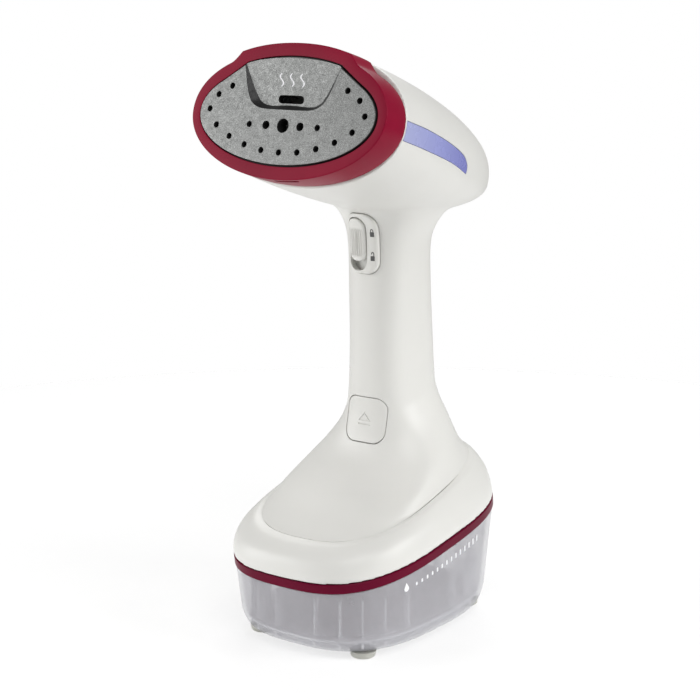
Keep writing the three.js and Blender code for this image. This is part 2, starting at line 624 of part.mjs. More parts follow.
function makeFloor() {
  const inset = WALL + GAP;
  const boardPosts = [[-22, -38], [22, -38], [-22, -18], [22, -18]];
  const underPump = PUMP.z - PUMP.frame - GAP;
  const plate = join(baseSlab(0.6, 3, inset),
    ...boardPosts.map(([x, along]) => rod(basePlace(x, along, 2), basePlace(x, along, 7.7), 2.4, 2, 12)),
    ...[-1, 1].map((side) => block([side * 10 - 2.5, 26, 56], [side * 10 + 2.5, 40, underPump])));
  add('base_plate', geometryOf(cut(plate,
    block([-LATCH.halfWidth - 1, -1, 40], [LATCH.halfWidth + 1, 15, 70]),
    rod(basePlace(...SOCKET, -5), basePlace(...SOCKET, 8), 5 + GAP),
    ...BASE_SCREWS.map(([x, along]) => rod(basePlace(x, along, -3), basePlace(x, along, 5), 1.9, 1.9, 12)),
  )), SOFT_GREY);
  BASE_SCREWS.forEach(([x, along], i) => {
    add(`base_screw_${i + 1}`, screw(basePlace(x, along, 11), basePlace(x, along, -1.5), 1.5, 3), STEEL);
  });
  const socket = cut(
    join(rod([...SOCKET, -2.2], [...SOCKET, 9], 5), rod([...SOCKET, 3 + GAP], [...SOCKET, 4.8], 8)),
    rod([...SOCKET, -4], [...SOCKET, 10], 1.8, 1.8, 12),
  );
  add('water_socket', geometryOf(socket), SOFT_GREY, base);
  const top = basePlace(...SOCKET, 9 + GAP);
  const { z, inlet } = PUMP;
  const hose = [top, basePlace(...SOCKET, 13), [-16.6, 19, z - 0.8], [-14.4, inlet, z], [-12.4, inlet, z]];
  add('pump_inlet_hose', tube(hose, 2.2, 14), SILICONE);
  add('control_board', block([-26, -42, 8], [26, -14, 9.6]), BOARD, base);
  add('power_relay', block([4, -34, 9.6 + GAP], [19, -20, 14.5]), BLACK, base);
}

// ---- water tank ----
const FILLER = { z: 38, y: 69.9, radius: 11.4, lean: 6.3 };
const HINGE = { y: 72.4, z: 23.4, bore: 1.1 };
const PIN_CLEARANCE = 0.06;

function makeTank() {
  const outside = [
    station([-57, FOOT_HEIGHT], [59, FOOT_HEIGHT], 43.5, 2.8),
    station([-63, 7], [64.5, 7], 47.7, 2.9),
    station([-66.2, 14], [66.8, 14], 49.2, 2.95),
    baseStation(-BAND - GAP, 0.5),
  ];
  const lift = FOOT_HEIGHT + TANK_WALL;
  const inside = [
    station([-56.5, lift], [58.5, lift], 43, 2.8),
    station([-61, 8.9], [62.5, 8.9], 45.8, 2.9),
    station([-64.3, 15], [64.9, 15], 47.3, 2.95),
    baseStation(-BAND + 2, 0.5 + TANK_WALL),
  ];
  const { z, y, radius } = FILLER;
  const lugs = [-1, 1].map((side) => block(
    [side * 8.5 - 1.5, y - 2.6, HINGE.z - 2], [side * 8.5 + 1.5, HINGE.y + 1.6, HINGE.z + 2]));
  const shell = solid(stationLoft(outside)).subtract(solid(stationLoft(inside)));
  add('tank_shell', geometryOf(cut(
    lugs.reduce((sum, lug) => sum.add(solid(lug)), shell),
    rod([0, y - 6, z], [0, y + 6, z], radius, radius, 28),
    rod([-14, HINGE.y, HINGE.z], [14, HINGE.y, HINGE.z], HINGE.bore, HINGE.bore, 12),
    block([-6.7, y - 0.2, HINGE.z - 3], [6.7, y + 8, HINGE.z + 3]),
  )), TANK);
  FOOT_PLACES.forEach(([x, along], i) => {
    const foot = rod([x, along, 0], [x, along, FOOT_HEIGHT - GAP], FOOT_RADIUS - 0.5, FOOT_RADIUS, 20);
    add(`tank_foot_${i + 1}`, foot, SILICONE);
  });
}

function makeTankLid() {
  const pan = cut(solid(baseSlab(-BAND, -GAP, 0)), baseSlab(-BAND + 2, 2, 3));
  const skirt = cut(solid(baseSlab(-BAND - 2.6, -BAND + 0.5, 4.3)), baseSlab(-BAND - 4, -BAND + 0.2, 6));
  add('tank_lid', geometryOf(cut(pan.add(skirt),
    block([-LATCH.halfWidth - 1.5, -1, 38], [LATCH.halfWidth + 1.5, 15.5, 60]),
    rod(basePlace(...SOCKET, -12), basePlace(...SOCKET, 2), 8 + GAP),
  )), CRIMSON);
  const at = (up) => [...SOCKET, up];
  add('tank_valve', geometryOf(cut(
    join(rod(at(-10), at(-2), 8), rod(at(-BAND + 2 + GAP), at(-1.2), 10)),
    rod(at(-4), at(0), 5 + GAP),
    rod(at(-11), at(0), 1.8, 1.8, 12),
  )), RUBBER, base);
  add('suction_pipe', geometryOf(pipe(at(-10 - GAP), at(-44), 3, 1.8, 14)), SILICONE, base);
  add('intake_filter', geometryOf(pipe(at(-44 - GAP), at(-47.2), 5, 1.6, 16)), SOFT_GREY, base);
}

// The filler cap: a stopper on a flap that swings down about a pin along its lower edge.
function makeFiller() {
  const { z, y, radius, lean } = FILLER;
  const cap = join(
    rod([0, -4, 0], [0, 1, 0], radius - 0.8, radius - 0.8, 26),
    rod([0, 0.7, 0], [0, 2.9, 0], 13.6, 13, 28),
    block([-7, 0.9, 12], [7, 2.7, 17]),
  );
  const angle = THREE.MathUtils.degToRad(-lean);
  const placed = geometryOf(cap).rotateX(angle).translate(0, y, z);
  const barrel = join(rod([-6.4, HINGE.y, HINGE.z], [6.4, HINGE.y, HINGE.z], 2.2, 2.2, 14),
    block([-6.4, HINGE.y - 1, HINGE.z], [6.4, HINGE.y + 1, HINGE.z + 3]));
  add('filler_cap', geometryOf(cut(solid(placed).add(barrel),
    rod([-8, HINGE.y, HINGE.z], [8, HINGE.y, HINGE.z], HINGE.bore, HINGE.bore, 12))), RUBBER);
  const pin = HINGE.bore - PIN_CLEARANCE;
  add('filler_pin', rod([-10, HINGE.y, HINGE.z], [10, HINGE.y, HINGE.z], pin, pin, 12), STEEL);
}

makeHousing();
makeHeadFront();
makeChamber();
makeLights();
makeControls();
makeRelease();
makeGripInside();
makePump();
makeFloor();
makeTank();
makeTankLid();
makeFiller();

export default steamer;
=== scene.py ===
"""The looks of a handheld garment steamer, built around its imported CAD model.

Meshes are made in millimetres in the CAD source's own frame and moved to metres once each piece is done.
"""

import json
import math

import bmesh
import bpy
import numpy as np
from mathutils import Matrix, Vector
from mathutils.bvhtree import BVHTree
from mathutils.kdtree import KDTree


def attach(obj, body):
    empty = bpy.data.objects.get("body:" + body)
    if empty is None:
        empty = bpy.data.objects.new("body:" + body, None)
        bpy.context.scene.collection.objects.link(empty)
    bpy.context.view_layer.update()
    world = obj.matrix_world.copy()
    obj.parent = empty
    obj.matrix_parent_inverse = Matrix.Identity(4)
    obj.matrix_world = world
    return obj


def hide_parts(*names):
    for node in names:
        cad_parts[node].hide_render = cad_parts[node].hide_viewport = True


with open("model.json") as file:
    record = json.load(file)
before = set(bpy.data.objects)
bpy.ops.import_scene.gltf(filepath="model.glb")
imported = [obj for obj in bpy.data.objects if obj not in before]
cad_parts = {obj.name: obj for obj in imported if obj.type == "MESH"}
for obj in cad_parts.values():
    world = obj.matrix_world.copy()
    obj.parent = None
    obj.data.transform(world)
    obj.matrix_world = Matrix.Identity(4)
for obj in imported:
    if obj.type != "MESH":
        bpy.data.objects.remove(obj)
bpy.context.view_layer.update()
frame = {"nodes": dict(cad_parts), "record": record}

MM = 0.001
MID_Y = 8.4                      # the CAD source's Y of the object's middle

# ---- camera ----
CAMERA_AT = (0.5102, -0.7233, 0.3222)
CAMERA_TURN = math.radians(36.02)
CAMERA_DROP = math.radians(11.68)
LENS, SENSOR = 92.06, 36


def make_camera():
    camera = bpy.data.objects.new("camera", bpy.data.cameras.new("camera"))
    bpy.context.scene.collection.objects.link(camera)
    camera.data.lens = LENS
    camera.data.sensor_width = SENSOR
    camera.data.clip_start = 0.01
    camera.location = CAMERA_AT
    camera.rotation_euler = (math.pi / 2 - CAMERA_DROP, 0, CAMERA_TURN)
    bpy.context.scene.camera = camera


make_camera()

# ---- the two tilted frames of the CAD source ----
BASE_TILT = math.radians(8.83)
BASE_CENTRE = (0, 0.4, 51.7)
HEAD_TURN = math.pi / 2 - math.radians(15.8)
PLATE_CENTRE = (0, -64.8, 256.7)
BASE_FRAME = Matrix.Translation(BASE_CENTRE) @ Matrix.Rotation(BASE_TILT, 4, "X")
HEAD_FRAME = Matrix.Translation(PLATE_CENTRE) @ Matrix.Rotation(HEAD_TURN, 4, "X")
UPRIGHT = Matrix.Identity(4)
# An outline in X and Z becomes a bar along Y.
FACING_FRONT = Matrix.Rotation(math.pi / 2, 4, "X")


def moved(points, matrix):
    points = np.asarray(points, float)
    m = np.array(matrix)
    return points @ m[:3, :3].T + m[:3, 3]


# ---- meshes ----
def new_object(name, points, faces):
    mesh = bpy.data.meshes.new(name)
    mesh.from_pydata([tuple(p) for p in points], [], faces)
    shape = bmesh.new()
    shape.from_mesh(mesh)
    bmesh.ops.recalc_face_normals(shape, faces=shape.faces)
    shape.to_mesh(mesh)
    shape.free()
    obj = bpy.data.objects.new(name, mesh)
    bpy.context.scene.collection.objects.link(obj)
    return obj


def loft(rings, ring_loop=False):
    """A closed solid through rings of equally many points; ring_loop joins the last ring to the first."""
    rings = np.array(rings, float)
    count, size = rings.shape[:2]
    points = list(rings.reshape(-1, 3))
    faces = []
    for i in range(count if ring_loop else count - 1):
        low, high = i * size, (i + 1) % count * size
        faces += [(low + j, low + (j + 1) % size, high + (j + 1) % size, high + j) for j in range(size)]
    if not ring_loop:
        for start in (0, (count - 1) * size):
            points.append(np.mean(points[start:start + size], axis=0))
            faces += [(start + j, start + (j + 1) % size, len(points) - 1) for j in range(size)]
    return new_object("loft", points, faces)


def slab(front, back):
    """A closed plate between two loops of points."""
    size = len(front)
    faces = [tuple(range(size)), tuple(range(size, 2 * size))]
    faces += [(j, (j + 1) % size, size + (j + 1) % size, size + j) for j in range(size)]
    return new_object("slab", [*front, *back], faces)


def prism(outline, low, high, matrix=UPRIGHT):
    """A bar with an outline in the XY plane of matrix."""
    return slab(*[moved([(x, y, z) for x, y in outline], matrix) for z in (low, high)])


def turned(profile, start, end, sides=48):
    """A solid of revolution from start towards end: profile is (distance along, radius)."""
    a, b = Vector(start), Vector(end)
    turn = (b - a).to_track_quat("Z", "Y").to_matrix().to_4x4()
    angles = ring_angles(sides)
    rings = [np.stack([r * np.cos(angles), r * np.sin(angles), np.full(sides, t)], 1) for t, r in profile]
    return loft([moved(ring, Matrix.Translation(a) @ turn) for ring in rings])


def bar(start, end, radius, sides=48, edge=0.0):
    length = (Vector(end) - Vector(start)).length
    profile = [(0, radius - edge), (edge, radius), (length - edge, radius), (length, radius - edge)]
    return turned(profile if edge else [(0, radius), (length, radius)], start, end, sides)


def corners(left, low, right, high):
    return [(left, low), (right, low), (right, high), (left, high)]


def block(low, high, matrix=UPRIGHT):
    return prism(corners(*low[:2], *high[:2]), low[2], high[2], matrix)


def applied(obj):
    """obj, with its modifiers made part of its mesh."""
    bpy.context.view_layer.update()
    graph = bpy.context.evaluated_depsgraph_get()
    mesh = bpy.data.meshes.new_from_object(obj.evaluated_get(graph))
    old = obj.data
    obj.modifiers.clear()
    obj.data = mesh
    bpy.data.meshes.remove(old)
    return obj


def combine(how, obj, tools):
    for tool in tools:
        step = obj.modifiers.new("combine", "BOOLEAN")
        step.operation, step.solver, step.object = how, "MANIFOLD", tool
        applied(obj)
        bpy.data.objects.remove(tool)
    return obj


def cut(obj, *tools):
    return combine("DIFFERENCE", obj, tools)


def join(obj, *tools):
    return combine("UNION", obj, tools)


def common(obj, *tools):
    return combine("INTERSECT", obj, tools)


def together(first, *rest):
    """One mesh with all the objects' separate shells in it."""
    shape = bmesh.new()
    for obj in (first, *rest):
        shape.from_mesh(obj.data)
    shape.to_mesh(first.data)
    shape.free()
    for obj in rest:
        bpy.data.objects.remove(obj)
    return first


def copy_of(obj):
    twin = bpy.data.objects.new(obj.name, obj.data.copy())
    bpy.context.scene.collection.objects.link(twin)
    return twin


def coordinates(obj):
    points = np.empty(len(obj.data.vertices) * 3)
    obj.data.vertices.foreach_get("co", points)
    return points.reshape(-1, 3)


def set_coordinates(obj, points):
    obj.data.vertices.foreach_set("co", np.ascontiguousarray(points).ravel())
    obj.data.update()


def relax(obj, weights, rounds, step=0.5):
    """Moves each point towards the middle of its neighbours, as far as its weight says."""
    points = coordinates(obj)
    size = len(points)
    ends = np.empty(len(obj.data.edges) * 2, np.int32)
    obj.data.edges.foreach_get("vertices", ends)
    a, b = ends.reshape(-1, 2).T
    count = (np.bincount(a, minlength=size) + np.bincount(b, minlength=size))[:, None]
    for _ in range(rounds):
        total = np.stack([np.bincount(a, points[b, k], size) + np.bincount(b, points[a, k], size)
                          for k in range(3)], 1)
        points += step * weights[:, None] * (total / count - points)
    set_coordinates(obj, points)


def remeshed(obj, voxel):
    step = obj.modifiers.new("remesh", "REMESH")
    step.mode, step.voxel_size = "VOXEL", voxel
    return applied(obj)


def finished(obj, name, body, slot, replaces=(), sharp=32, material=None):
    """Moves a made mesh to metres, smooths its shading and makes it a piece of the object. It takes
    its slot's material unless another is given; edges sharper than sharp degrees stay crisp."""
    points = coordinates(obj)
    points[:, 1] -= MID_Y
    set_coordinates(obj, points * MM)
    obj.name = obj.data.name = name
    obj.data.shade_smooth()
    obj.data.set_sharp_from_angle(angle=math.radians(sharp))
    even = obj.modifiers.new("normals", "WEIGHTED_NORMAL")
    even.keep_sharp = True
    obj.data.materials.clear()
    obj.data.materials.append(material or MATERIALS[slot])
    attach(obj, body)
    if replaces:
        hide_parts(*replaces)
    return obj


# ---- curves and outlines ----
def smooth_rows(rows, between):
    """Extra rows of numbers between the given ones, on a Catmull-Rom curve."""
    rows = np.array(rows, float)
    last = len(rows) - 1
    fine = []
    for i in range(last):
        before, a, b, after = (rows[min(max(k, 0), last)] for k in (i - 1, i, i + 1, i + 2))
        start = b - a if i == 0 else (b - before) / 2
        end = b - a if i == last - 1 else (after - a) / 2
        for t in np.arange(between) / between:
            fine.append((2 * t**3 - 3 * t**2 + 1) * a + (t**3 - 2 * t**2 + t) * start
                        + (3 * t**2 - 2 * t**3) * b + (t**3 - t**2) * end)
    return np.array(fine + [rows[-1]])


def filleted(outline, radius, steps=6):
    """A closed polygon with each corner rounded by an arc of about the given radius."""
    outline = [np.array(c, float) for c in outline]
    points = []
    for i, corner in enumerate(outline):
        before, after = outline[i - 1] - corner, outline[(i + 1) % len(outline)] - corner
        lengths = np.linalg.norm(before), np.linalg.norm(after)
        half = math.acos(np.clip(before @ after / (lengths[0] * lengths[1]), -1, 1)) / 2
        reach = min(radius / math.tan(half), 0.49 * min(lengths))
        a, b = corner + before / lengths[0] * reach, corner + after / lengths[1] * reach
        for t in np.linspace(0, 1, steps):
            points.append((1 - t) ** 2 * a + 2 * t * (1 - t) * corner + t**2 * b)
    return points


def rounded_box(x, y, half_width, half_height, corner, steps=10, between=0):
    """A rectangle with round corners; between is how many more points each straight side has."""
    points = []
    for quarter, (sx, sy) in enumerate(((1, 1), (-1, 1), (-1, -1), (1, -1))):
        for t in np.linspace(quarter, quarter + 1, steps) * math.pi / 2:
            points.append(np.array((x + sx * (half_width - corner) + corner * math.cos(t),
                                    y + sy * (half_height - corner) + corner * math.sin(t))))
    if not between:
        return points
    full = []
    for i, point in enumerate(points):
        full.append(point)
        if i % steps == steps - 1:
            step = (points[(i + 1) % len(points)] - point) / (between + 1)
            full += [point + step * k for k in range(1, between + 1)]
    return full


def power(value, exponent):
    return np.sign(value) * np.abs(value) ** exponent


def ring_angles(count):
    return np.linspace(0, 2 * math.pi, count, endpoint=False)


# ---- stations: front Y and Z, rear Y and Z, half width, power, where it is widest ----
BASE_FRONT, BASE_REAR, BASE_HALF, BASE_POWER = 71.9, 72.4, 51.8, 2.95


def base_point(along, up):
    return (BASE_CENTRE[1] + along * math.cos(BASE_TILT) - up * math.sin(BASE_TILT),
            BASE_CENTRE[2] + along * math.sin(BASE_TILT) + up * math.cos(BASE_TILT))


def base_station(up, inset):
    return (*base_point(inset - BASE_FRONT, up), *base_point(BASE_REAR - inset, up),
            BASE_HALF - inset, BASE_POWER, 0.5)


def station_ring(row, count):
    front, rear, (half, p, widest) = row[0:2], row[2:4], row[4:7]
    angles = ring_angles(count)
    along = power(np.sin(angles), 2 / p)
    share = widest + along * np.where(along < 0, widest, 1 - widest)
    return np.stack([half * power(np.cos(angles), 2 / p), front[0] + (rear[0] - front[0]) * share,
                     front[1] + (rear[1] - front[1]) * share], 1)


def inset_station(row, wall):
    front, rear = np.array(row[0:2]), np.array(row[2:4])
    step = (rear - front) * wall / np.linalg.norm(rear - front)
    return (*(front + step), *(rear - step), row[4] - wall, *row[5:7])


BRIM = [
    base_station(0, 0.5), base_station(0.5, 0.05), base_station(5, 0.4),
    (*base_point(-68.8, 10.5), *base_point(71.2, 13.5), 49.2, 2.9, 0.5),
    (*base_point(-61.5, 14.2), *base_point(67.5, 22), 44.8, 2.8, 0.5),
    (-55, 57, 60.5, 86.5, 42, 2.7, 0.45),
]
DOME_AND_GRIP = [
    BRIM[-1],
    (-41, 65, 55.5, 92.5, 39.5, 2.6, 0.41),
    (-25, 72.5, 52, 99, 36.5, 2.5, 0.4),
    (-10.5, 82, 49, 106.5, 31.4, 2.5, 0.4),
    (-3, 93, 46.6, 114, 25.3, 2.55, 0.43),
    (-0.8, 104, 46, 121, 20.6, 2.6, 0.47),
    (-0.2, 114, 46.2, 128, 18.5, 2.7, 0.5),
    (0, 140, 45.6, 146, 17.4, 2.7, 0.5),
    (0, 168, 43, 170, 17.6, 2.7, 0.5),
    (0, 192, 41.5, 190, 18.2, 2.7, 0.5),
    (-1.5, 204, 43, 199, 20.5, 2.6, 0.5),
    (-7, 213, 49, 207, 25, 2.5, 0.5),
    (-17, 221, 59, 214, 30, 2.4, 0.5),
]
BEZEL_DEPTH = 16
# Sections of the head parallel to the plate: depth, top, bottom, half width, widest height, power.
HEAD = [
    (16.3, 38.7, -26, 56, 5.5, 2.1), (40, 38.8, -27.2, 53.5, 4, 2.12), (70, 37.2, -27, 49, 3, 2.15),
    (100, 33.5, -23.2, 42.5, 2.5, 2.2), (126, 27.8, -16.5, 34.5, 2, 2.2), (143, 21.3, -10, 25, 1, 2.2),
    (153, 14, -4.5, 15.5, 0.5, 2.2), (157.7, 5, -0.5, 6, 0, 2.1),
]
WALL = 2.2                        # thickness of the housing
GAP = 0.3                         # between neighbouring mouldings
DOME_TOP = 112                    # height where the dome has become the grip


def head_ring(row, count):
    depth, top, bottom, half, widest, p = row
    angles = ring_angles(count)
    up = power(np.sin(angles), 2 / p)
    ring = np.stack([half * power(np.cos(angles), 2 / p),
                     widest + up * np.where(up > 0, top - widest, widest - bottom),
                     np.full(count, -depth)], 1)
    return moved(ring, HEAD_FRAME)


def head_loft(inset=0.0, front=None, count=160, between=10):
    rows = [(d, top - inset, bottom + inset, half - inset, w, p) for d, top, bottom, half, w, p in HEAD]
    if inset:
        rows = rows[:-1]
    if front is not None:
        rows.insert(0, (front, *rows[0][1:]))
    return loft([head_ring(row, count) for row in smooth_rows(rows, between)])


def body_loft(count=160, between=12):
    rows = [*smooth_rows(BRIM, between)[:-1], *smooth_rows(DOME_AND_GRIP, between)]
    return loft([station_ring(row, count) for row in rows])


def cavity():
    """The hollow inside the housing, closed and a wall thickness smaller all round."""
    low = inset_station(base_station(-2, 0), WALL)
    rows = [low] + [inset_station(row, WALL) for row in BRIM[2:4]]
    for row in [*BRIM[4:5], *DOME_AND_GRIP]:
        y0, z0, y1, z1, *rest = inset_station(row, WALL)
        drop = WALL if z0 < DOME_TOP else 0
        rows.append((y0, z0 - drop, y1, z1 - drop, *rest))
    inner = loft([station_ring(row, 72) for row in smooth_rows(rows, 3)])
    return join(inner, head_loft(WALL, BEZEL_DEPTH - 2, 72, 4))


# ---- materials ----
def linear(colour):
    return tuple(c / 12.92 if c <= 0.04045 else ((c + 0.055) / 1.055) ** 2.4 for c in colour)


class Surface:
    """A procedural material under construction: one Principled shader and its nodes."""

    def __init__(self, name, roughness, metallic=0.0, coat=0.0):
        self.material = bpy.data.materials.new(name)
        self.material.use_nodes = True
        self.tree = self.material.node_tree
        self.shader = self.tree.nodes["Principled BSDF"]
        for socket, value in (("Roughness", roughness), ("Metallic", metallic), ("Coat Weight", coat)):
            self.fix(socket, value)
        self.where = self.tree.nodes.new("ShaderNodeTexCoord").outputs["Object"]

    def node(self, kind, **settings):
        made = self.tree.nodes.new(kind)
        for key, value in settings.items():
            setattr(made, key, value)
        return made

    def link(self, source, target):
        self.tree.links.new(source, target)

    def fix(self, socket, value):
        self.shader.inputs[socket].default_value = value

    def feed(self, socket, source):
        self.link(source, self.shader.inputs[socket])

    def noise(self, scale, detail=3, rough=0.55, stretch=None):
        made = self.node("ShaderNodeTexNoise")
        for key, value in (("Scale", scale), ("Detail", detail), ("Roughness", rough)):
            made.inputs[key].default_value = value
        place = self.where
        if stretch:
            mapping = self.node("ShaderNodeMapping")
            mapping.inputs["Scale"].default_value = stretch
            self.link(place, mapping.inputs["Vector"])
            place = mapping.outputs["Vector"]
        self.link(place, made.inputs["Vector"])
        return made.outputs["Fac"]

    def ramp(self, source, stops):
        made = self.node("ShaderNodeValToRGB")
        entries = made.color_ramp.elements
        while len(entries) < len(stops):
            entries.new(0.5)
        for entry, (place, colour) in zip(entries, stops):
            entry.position = place
            entry.color = (*linear(colour), 1)
        self.link(source, made.inputs["Fac"])
        return made.outputs["Color"]

    def spread(self, source, low, high, start=0.3, end=0.7):
        made = self.node("ShaderNodeMapRange")
        for key, value in (("From Min", start), ("From Max", end), ("To Min", low), ("To Max", high)):
            made.inputs[key].default_value = value
        self.link(source, made.inputs["Value"])
        return made.outputs["Result"]

    def bump(self, source, distance, strength):
        made = self.node("ShaderNodeBump")
        made.inputs["Distance"].default_value = distance
        made.inputs["Strength"].default_value = strength
        self.link(source, made.inputs["Height"])
        self.feed("Normal", made.outputs["Normal"])


def shades(colour, spread):
    return [tuple(min(1, max(0, c * k)) for c in colour) for k in (1 - spread, 1 + spread)]


GLOSS_DRIFT = 0.02                # how far a moulded surface's roughness strays to either side


def moulded(name, colour, roughness, spread=0.02, grain=1600, depth=0.000012, metallic=0.0):
    """A moulded or cast surface: faint colour drift, uneven gloss and a fine grain."""
    s = Surface(name, roughness, metallic)
    low, high = shades(colour, spread)
    s.feed("Base Color", s.ramp(s.noise(28, 4), [(0.3, low), (0.7, high)]))
    s.feed("Roughness", s.spread(s.noise(70, 5), roughness - GLOSS_DRIFT, roughness + GLOSS_DRIFT))
    s.bump(s.noise(grain, 2), depth, 0.6)
    return s


def white_plastic():
    s = moulded("white_plastic", (0.876, 0.874, 0.857), 0.4, 0.006, 1400, 0.000008)
    s.fix("Subsurface Weight", 0.06)
    s.fix("Subsurface Radius", (0.004, 0.004, 0.0035))
    s.fix("Subsurface Scale", 1.0)
    return s.material


def crimson_plastic(name, colour):
    s = moulded(name, colour, 0.36, 0.04, 1800, 0.000012)
    s.fix("Specular IOR Level", 0.08)
    return s.material


MIX_A, MIX_B, MIX_RESULT = 6, 7, 2   # the colour sockets of a Mix node


def plate_coating():
    """Matte non-stick coating with light and dark speckles, and painted shade where the plate's surface is
    steep: there the colour is darker.
    """
    s = Surface("plate_coating", 0.42, 0.6)
    speck = s.noise(2300, 3, 0.8)
    level = s.ramp(speck, [(0.34, (0.34, 0.345, 0.34)), (0.5, (0.475, 0.48, 0.475)),
                           (0.66, (0.62, 0.625, 0.62))])
    # painted shade: a darker speckled colour for the steep walls, mixed in by how far the surface turns
    # away from the plate's face
    wall_shade = s.ramp(speck, [(0.3, (0.14, 0.14, 0.14)), (0.7, (0.26, 0.26, 0.26))])
    upright = s.node("ShaderNodeVectorMath", operation="DOT_PRODUCT")
    upright.inputs[1].default_value = HEAD_FRAME.to_3x3() @ Vector((0, 0, 1))
    s.link(s.node("ShaderNodeTexCoord").outputs["Normal"], upright.inputs[0])
    mix = s.node("ShaderNodeMix", data_type="RGBA")
    s.link(s.spread(upright.outputs["Value"], 0, 1, 0.8, 0.965), mix.inputs["Factor"])
    s.link(wall_shade, mix.inputs[MIX_A])
    s.link(level, mix.inputs[MIX_B])
    s.feed("Base Color", mix.outputs[MIX_RESULT])
    s.feed("Roughness", s.spread(s.noise(420, 4), 0.38, 0.54))
    s.bump(speck, 0.00004, 0.5)
    return s.material


def tank_plastic():
    """Frosted translucent plastic: a milky skin that lets part of the light straight through."""
    s = moulded("tank_plastic", (0.77, 0.77, 0.79), 0.32, 0.02, 900, 0.000012)
    s.feed("Alpha", s.spread(s.noise(45, 3), 0.36, 0.4))
    return s.material


def milky_plastic():
    """The thick places of the tank, where the frosted plastic looks milky."""
    return moulded("milky_plastic", (0.97, 0.97, 0.98), 0.4, 0.01, 900).material


def light_plastic():
    """A lit light guide: paler near the plate, more violet towards the tip."""
    s = Surface("light_plastic", 0.25, coat=0.3)
    split = s.node("ShaderNodeSeparateXYZ")
    s.link(s.where, split.inputs["Vector"])
    along = s.spread(split.outputs["Y"], 0, 1, -0.058, 0.01)
    colour = s.ramp(along, [(0, (0.63, 0.65, 0.8)), (0.5, (0.56, 0.58, 0.79)), (1, (0.46, 0.475, 0.73))])
    s.feed("Base Color", colour)
    s.feed("Emission Color", colour)
    s.fix("Emission Strength", 0.12)
    s.feed("Roughness", s.spread(s.noise(90, 4), 0.2, 0.32))
    s.bump(s.noise(1200, 2), 0.000008, 0.5)
    return s.material


def silicone():
    s = moulded("silicone", (0.72, 0.72, 0.69), 0.5, 0.03, 1100, 0.00002)
    s.fix("Subsurface Weight", 0.2)
    s.fix("Subsurface Radius", (0.002, 0.002, 0.002))
    s.fix("Subsurface Scale", 1.0)
    return s.material


def brushed(name, colour, roughness, stretch=(1, 1, 30)):
    s = Surface(name, roughness, 1.0)
    grain = s.noise(600, 4, 0.6, stretch)
    low, high = shades(colour, 0.08)
    s.feed("Base Color", s.ramp(grain, [(0.3, low), (0.7, high)]))
    s.feed("Roughness", s.spread(grain, roughness - 0.08, roughness + 0.1))
    s.bump(grain, 0.00001, 0.5)
    return s.material


def copper_wire():
    """Enamelled winding: fine turns along Y."""
    s = Surface("copper", 0.3, 0.9, coat=0.4)
    wave = s.node("ShaderNodeTexWave", bands_direction="Y")
    wave.inputs["Scale"].default_value = 500
    s.link(s.where, wave.inputs["Vector"])
    s.feed("Base Color", s.ramp(wave.outputs["Fac"], [(0, (0.5, 0.26, 0.12)), (1, (0.82, 0.5, 0.3))]))
    s.bump(wave.outputs["Fac"], 0.0001, 0.8)
    return s.material


def circuit_board():
    s = Surface("circuit_board", 0.35, coat=0.3)
    cells = s.node("ShaderNodeTexVoronoi", feature="DISTANCE_TO_EDGE")
    cells.inputs["Scale"].default_value = 260
    s.link(s.where, cells.inputs["Vector"])
    tracks = s.ramp(cells.outputs["Distance"], [(0.02, (0.62, 0.6, 0.3)), (0.05, (0.08, 0.36, 0.22))])
    s.feed("Base Color", tracks)
    s.bump(cells.outputs["Distance"], 0.00003, 0.4)
    return s.material


MATERIALS = {
    "white_plastic": white_plastic(),
    "crimson_plastic": crimson_plastic("crimson_plastic", (0.53, 0.06, 0.18)),
    "plate_coating": plate_coating(),
    "grey_plastic": moulded("grey_plastic", (0.8, 0.8, 0.78), 0.5, 0.02).material,
    "tank_plastic": tank_plastic(),
    "light_plastic": light_plastic(),
    "silicone": silicone(),
    "dark_rubber": moulded("dark_rubber", (0.17, 0.17, 0.175), 0.7, 0.1, 900, 0.00003).material,
    "steel": brushed("steel", (0.66, 0.67, 0.69), 0.3),
    "aluminium": moulded("aluminium", (0.7, 0.71, 0.72), 0.45, 0.06, 500, 0.00004, metallic=0.9).material,
    "copper": copper_wire(),
    "circuit_board": circuit_board(),
    "black_plastic": moulded("black_plastic", (0.1, 0.1, 0.105), 0.45, 0.1).material,
}
BAND_PLASTIC = crimson_plastic("crimson_band", (0.385, 0.01, 0.15))
MILKY = milky_plastic()
INK = moulded("grey_ink", (0.32, 0.32, 0.32), 0.5, 0.05).material
PALE_INK = moulded("pale_ink", (0.95, 0.95, 0.96), 0.5, 0.01).material


def dress_cad_nodes():
    """Every CAD node takes its slot's material; those that a piece stands for are hidden anyway."""
    slots = {part["node"]: part["material_slot"] for part in frame["record"]["subparts"]}
    for node, obj in frame["nodes"].items():
        if not obj.material_slots:
            obj.data.materials.append(None)
        for place in obj.material_slots:
            place.link = "OBJECT"
            place.material = MATERIALS[slots[node]]


dress_cad_nodes()

